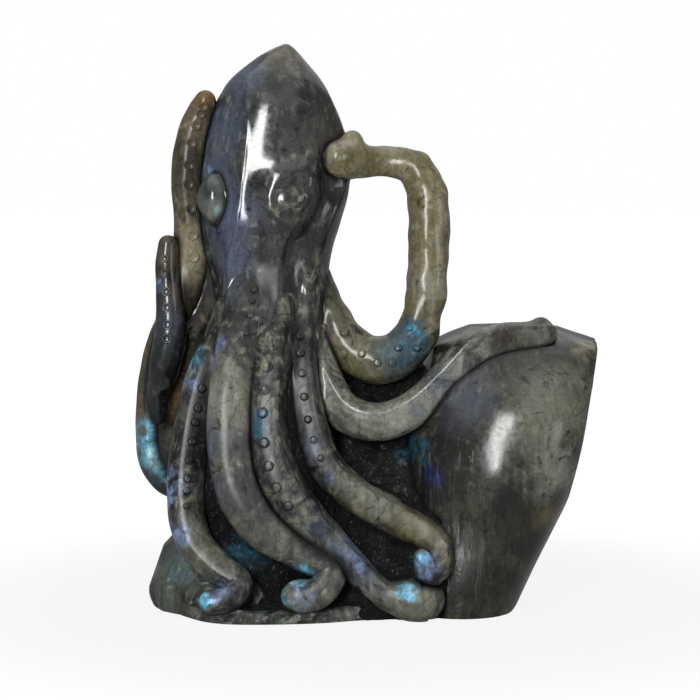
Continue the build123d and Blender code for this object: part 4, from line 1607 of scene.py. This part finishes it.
class OCTOPUS_OT_rock(CarvingOperator, bpy.types.Operator):
    """Break out the rough rock: saddle, heel and plinth"""

    bl_idname = "octopus.rock"
    bl_label = "Rough Rock"

    def execute(self, context):
        bm = bmesh.new()
        loft(bm, rock_rings(SADDLE_SECTION_SHARES, SADDLE_SIZE, steps=28, outline_steps=20))
        press(bm, SADDLE_SPOTS)
        for height, grain, seed in SADDLE_BREAKS:
            wobble(bm, height, grain, seed)
        settle(bm)
        add_piece("rough_saddle", bm, stone("saddle stone"), ["rock_saddle"])
        bm = bmesh.new()
        loft(bm, rock_rings(HEEL_SECTION_SHARES, HEEL_SIZE, steps=8, outline_steps=6))
        wobble(bm, 0.0016, grain=0.012, seed=41.0)
        self.chip(bm)
        settle(bm)
        add_piece("chipped_heel", bm, stone("chipped stone"), ["rock_heel"], sharp=22.0)
        bm = bmesh.new()
        self.plinth(bm)
        settle(bm)
        add_piece("sawn_plinth", bm, stone("chipped stone"), ["rock_plinth"], sharp=30.0)
        return {"FINISHED"}

    def chip(self, bm):
        """Strikes flakes off the heel, which leave flat, slanting faces."""
        middle = place(HEEL_MIDDLE_SHARE, 0.0, 0.0)
        for bearing, slope, share in HEEL_FLAKES:
            turn = math.radians(bearing)
            tilt = math.radians(slope)
            out = Vector((math.cos(tilt) * math.cos(turn), math.cos(tilt) * math.sin(turn), math.sin(tilt)))
            reach = share * math.sqrt(sum((side * part) ** 2 for side, part in zip(HEEL_REACH, out)))
            _, faces = saw(bm, middle + out * reach, out)
            if faces:
                bmesh.ops.triangulate(bm, faces=faces)

    def plinth(self, bm):
        """A thin foot with a chipped edge and a sawn underside."""
        outline = curve_rows(PLINTH_OUTLINE_SHARES, steps=10, closed=True)
        middle = place(*PLINTH_MIDDLE_SHARES, 0.0)
        rings = []
        for up, share in PLINTH_RING_SHARES:
            level = Vector((0.0, 0.0, up * sizes().plinth_thickness))
            points = [place(across, back, 0.0) for across, back in outline]
            rings.append([middle + (point - middle) * share + level for point in points])
        loft(bm, rings)
        for vert in bm.verts:
            if vert.co.z > UNDERSIDE:
                chip = PLINTH_CHIP * noise.noise(vert.co / PLINTH_CHIP_GRAIN) - PLINTH_WEAR
                vert.co += (vert.co - middle).normalized() * chip


class OCTOPUS_OT_studio(CarvingOperator, bpy.types.Operator):
    """Set the floor, the lamps, the white surroundings and the camera"""

    bl_idname = "octopus.studio"
    bl_label = "Studio"

    def execute(self, context):
        scene = context.scene
        scene.view_settings.view_transform = "Standard"
        self.floor(scene)
        self.surroundings(scene)
        for name, (where, target, lamp_size, power) in LAMPS.items():
            self.lamp(scene, name, where, target, lamp_size, getattr(scene.octopus_studio, power))
        self.camera(scene)
        return {"FINISHED"}

    def floor(self, scene):
        """A wide pale floor that keeps the figure's shadow."""
        bm = bmesh.new()
        bmesh.ops.create_grid(bm, x_segments=1, y_segments=1, size=FLOOR_REACH)
        mesh = bpy.data.meshes.new("floor")
        bm.to_mesh(mesh)
        bm.free()
        floor = bpy.data.objects.new("floor", mesh)
        scene.collection.objects.link(floor)
        material = bpy.data.materials.new("floor paper")
        material.use_nodes = True
        tree = material.node_tree
        tree.nodes.clear()
        paper = add_node(tree, "ShaderNodeBsdfDiffuse", {"Color": (*scene.octopus_studio.floor, 1.0)})
        glow = add_node(tree, "ShaderNodeEmission", {"Color": WHITE, "Strength": FLOOR_GLOW})
        away = length(tree, tree.nodes.new("ShaderNodeTexCoord").outputs["Object"])
        seen = times(tree, self.seen(tree), ramp(tree, away, *SHADOW_FADE, *SHADOW_SHARES))
        both = add_node(tree, "ShaderNodeMixShader", {0: seen, 1: paper.outputs[0], 2: glow.outputs[0]})
        add_node(tree, "ShaderNodeOutputMaterial", {"Surface": both.outputs[0]})
        mesh.materials.append(material)

    def seen(self, tree):
        """Rays that look straight at the surroundings, or at their mirror image."""
        path = tree.nodes.new("ShaderNodeLightPath").outputs
        rays = larger(tree, path["Is Camera Ray"], path["Is Transmission Ray"])
        return larger(tree, rays, times(tree, path["Is Glossy Ray"], MIRRORED_SHARE))

    def surroundings(self, scene):
        """White all round for the eye, dim grey as light."""
        world = bpy.data.worlds.new("surroundings")
        world.use_nodes = True
        tree = world.node_tree
        tree.nodes.clear()
        dim = add_node(tree, "ShaderNodeBackground", {"Color": WHITE, "Strength": WORLD_LIGHT})
        white = add_node(tree, "ShaderNodeBackground", {"Color": WHITE, "Strength": 1.0})
        seen = self.seen(tree)
        both = add_node(tree, "ShaderNodeMixShader", {0: seen, 1: dim.outputs[0], 2: white.outputs[0]})
        add_node(tree, "ShaderNodeOutputWorld", {"Surface": both.outputs[0]})
        scene.world = world

    def lamp(self, scene, name, where, target, lamp_size, power):
        """A soft rectangular lamp that looks at a point."""
        light = bpy.data.lights.new(name, "AREA")
        light.shape = "RECTANGLE"
        light.size, light.size_y = lamp_size
        light.energy = power
        lamp = bpy.data.objects.new(name, light)
        lamp.location = where
        lamp.rotation_euler = (Vector(target) - Vector(where)).to_track_quat("-Z", "Y").to_euler()
        scene.collection.objects.link(lamp)

    def camera(self, scene):
        """A long lens that looks slightly down at the figure's front."""
        camera = bpy.data.cameras.new("camera")
        camera.lens = CAMERA_LENS
        camera.sensor_width = CAMERA_SENSOR
        camera.sensor_fit = "HORIZONTAL"
        camera.clip_start = 0.01
        viewer = bpy.data.objects.new("camera", camera)
        tilt = math.radians(CAMERA_TILT)
        look = Vector((0.0, math.cos(tilt), -math.sin(tilt)))
        viewer.location = Vector(CAMERA_TARGET) - look * CAMERA_DISTANCE
        viewer.rotation_euler = (math.radians(90.0) - tilt, 0.0, 0.0)
        scene.collection.objects.link(viewer)
        scene.camera = viewer


class OCTOPUS_PT_panel(bpy.types.Panel):
    """The carving's sizes, colours and steps"""

    bl_idname = "OCTOPUS_PT_panel"
    bl_label = "Stone Octopus"
    bl_space_type = "VIEW_3D"
    bl_region_type = "UI"
    bl_category = "Carving"

    def draw(self, context):
        scene = context.scene
        for group in (scene.octopus_sizes, scene.octopus_colours, scene.octopus_studio):
            box = self.layout.box()
            for key in group.bl_rna.properties.keys():
                if key not in {"rna_type", "name"}:
                    box.prop(group, key)
        for operator in OPERATORS:
            self.layout.operator(operator.bl_idname)


GROUPS = {"octopus_sizes": CarvingSizes, "octopus_colours": StoneColours, "octopus_studio": StudioSettings}
OPERATORS = (
    OCTOPUS_OT_body,
    OCTOPUS_OT_arms,
    OCTOPUS_OT_boulder,
    OCTOPUS_OT_rock,
    OCTOPUS_OT_grooves,
    OCTOPUS_OT_suckers,
    OCTOPUS_OT_studio,
)


def register():
    """Adds the carving's classes and settings."""
    for cls in (*GROUPS.values(), *OPERATORS, OCTOPUS_PT_panel):
        bpy.utils.register_class(cls)
    for key, group in GROUPS.items():
        setattr(bpy.types.Scene, key, PointerProperty(type=group))


def unregister():
    """Takes the carving's classes and settings away."""
    for key in GROUPS:
        delattr(bpy.types.Scene, key)
    for cls in reversed((*GROUPS.values(), *OPERATORS, OCTOPUS_PT_panel)):
        bpy.utils.unregister_class(cls)


def main():
    """Builds the whole carving."""
    register()
    bpy.ops.octopus.body()
    bpy.ops.octopus.arms()
    bpy.ops.octopus.boulder()
    bpy.ops.octopus.rock()
    bpy.ops.octopus.grooves()
    bpy.ops.octopus.suckers()
    bpy.ops.octopus.studio()


if __name__ == "__main__":
    main()
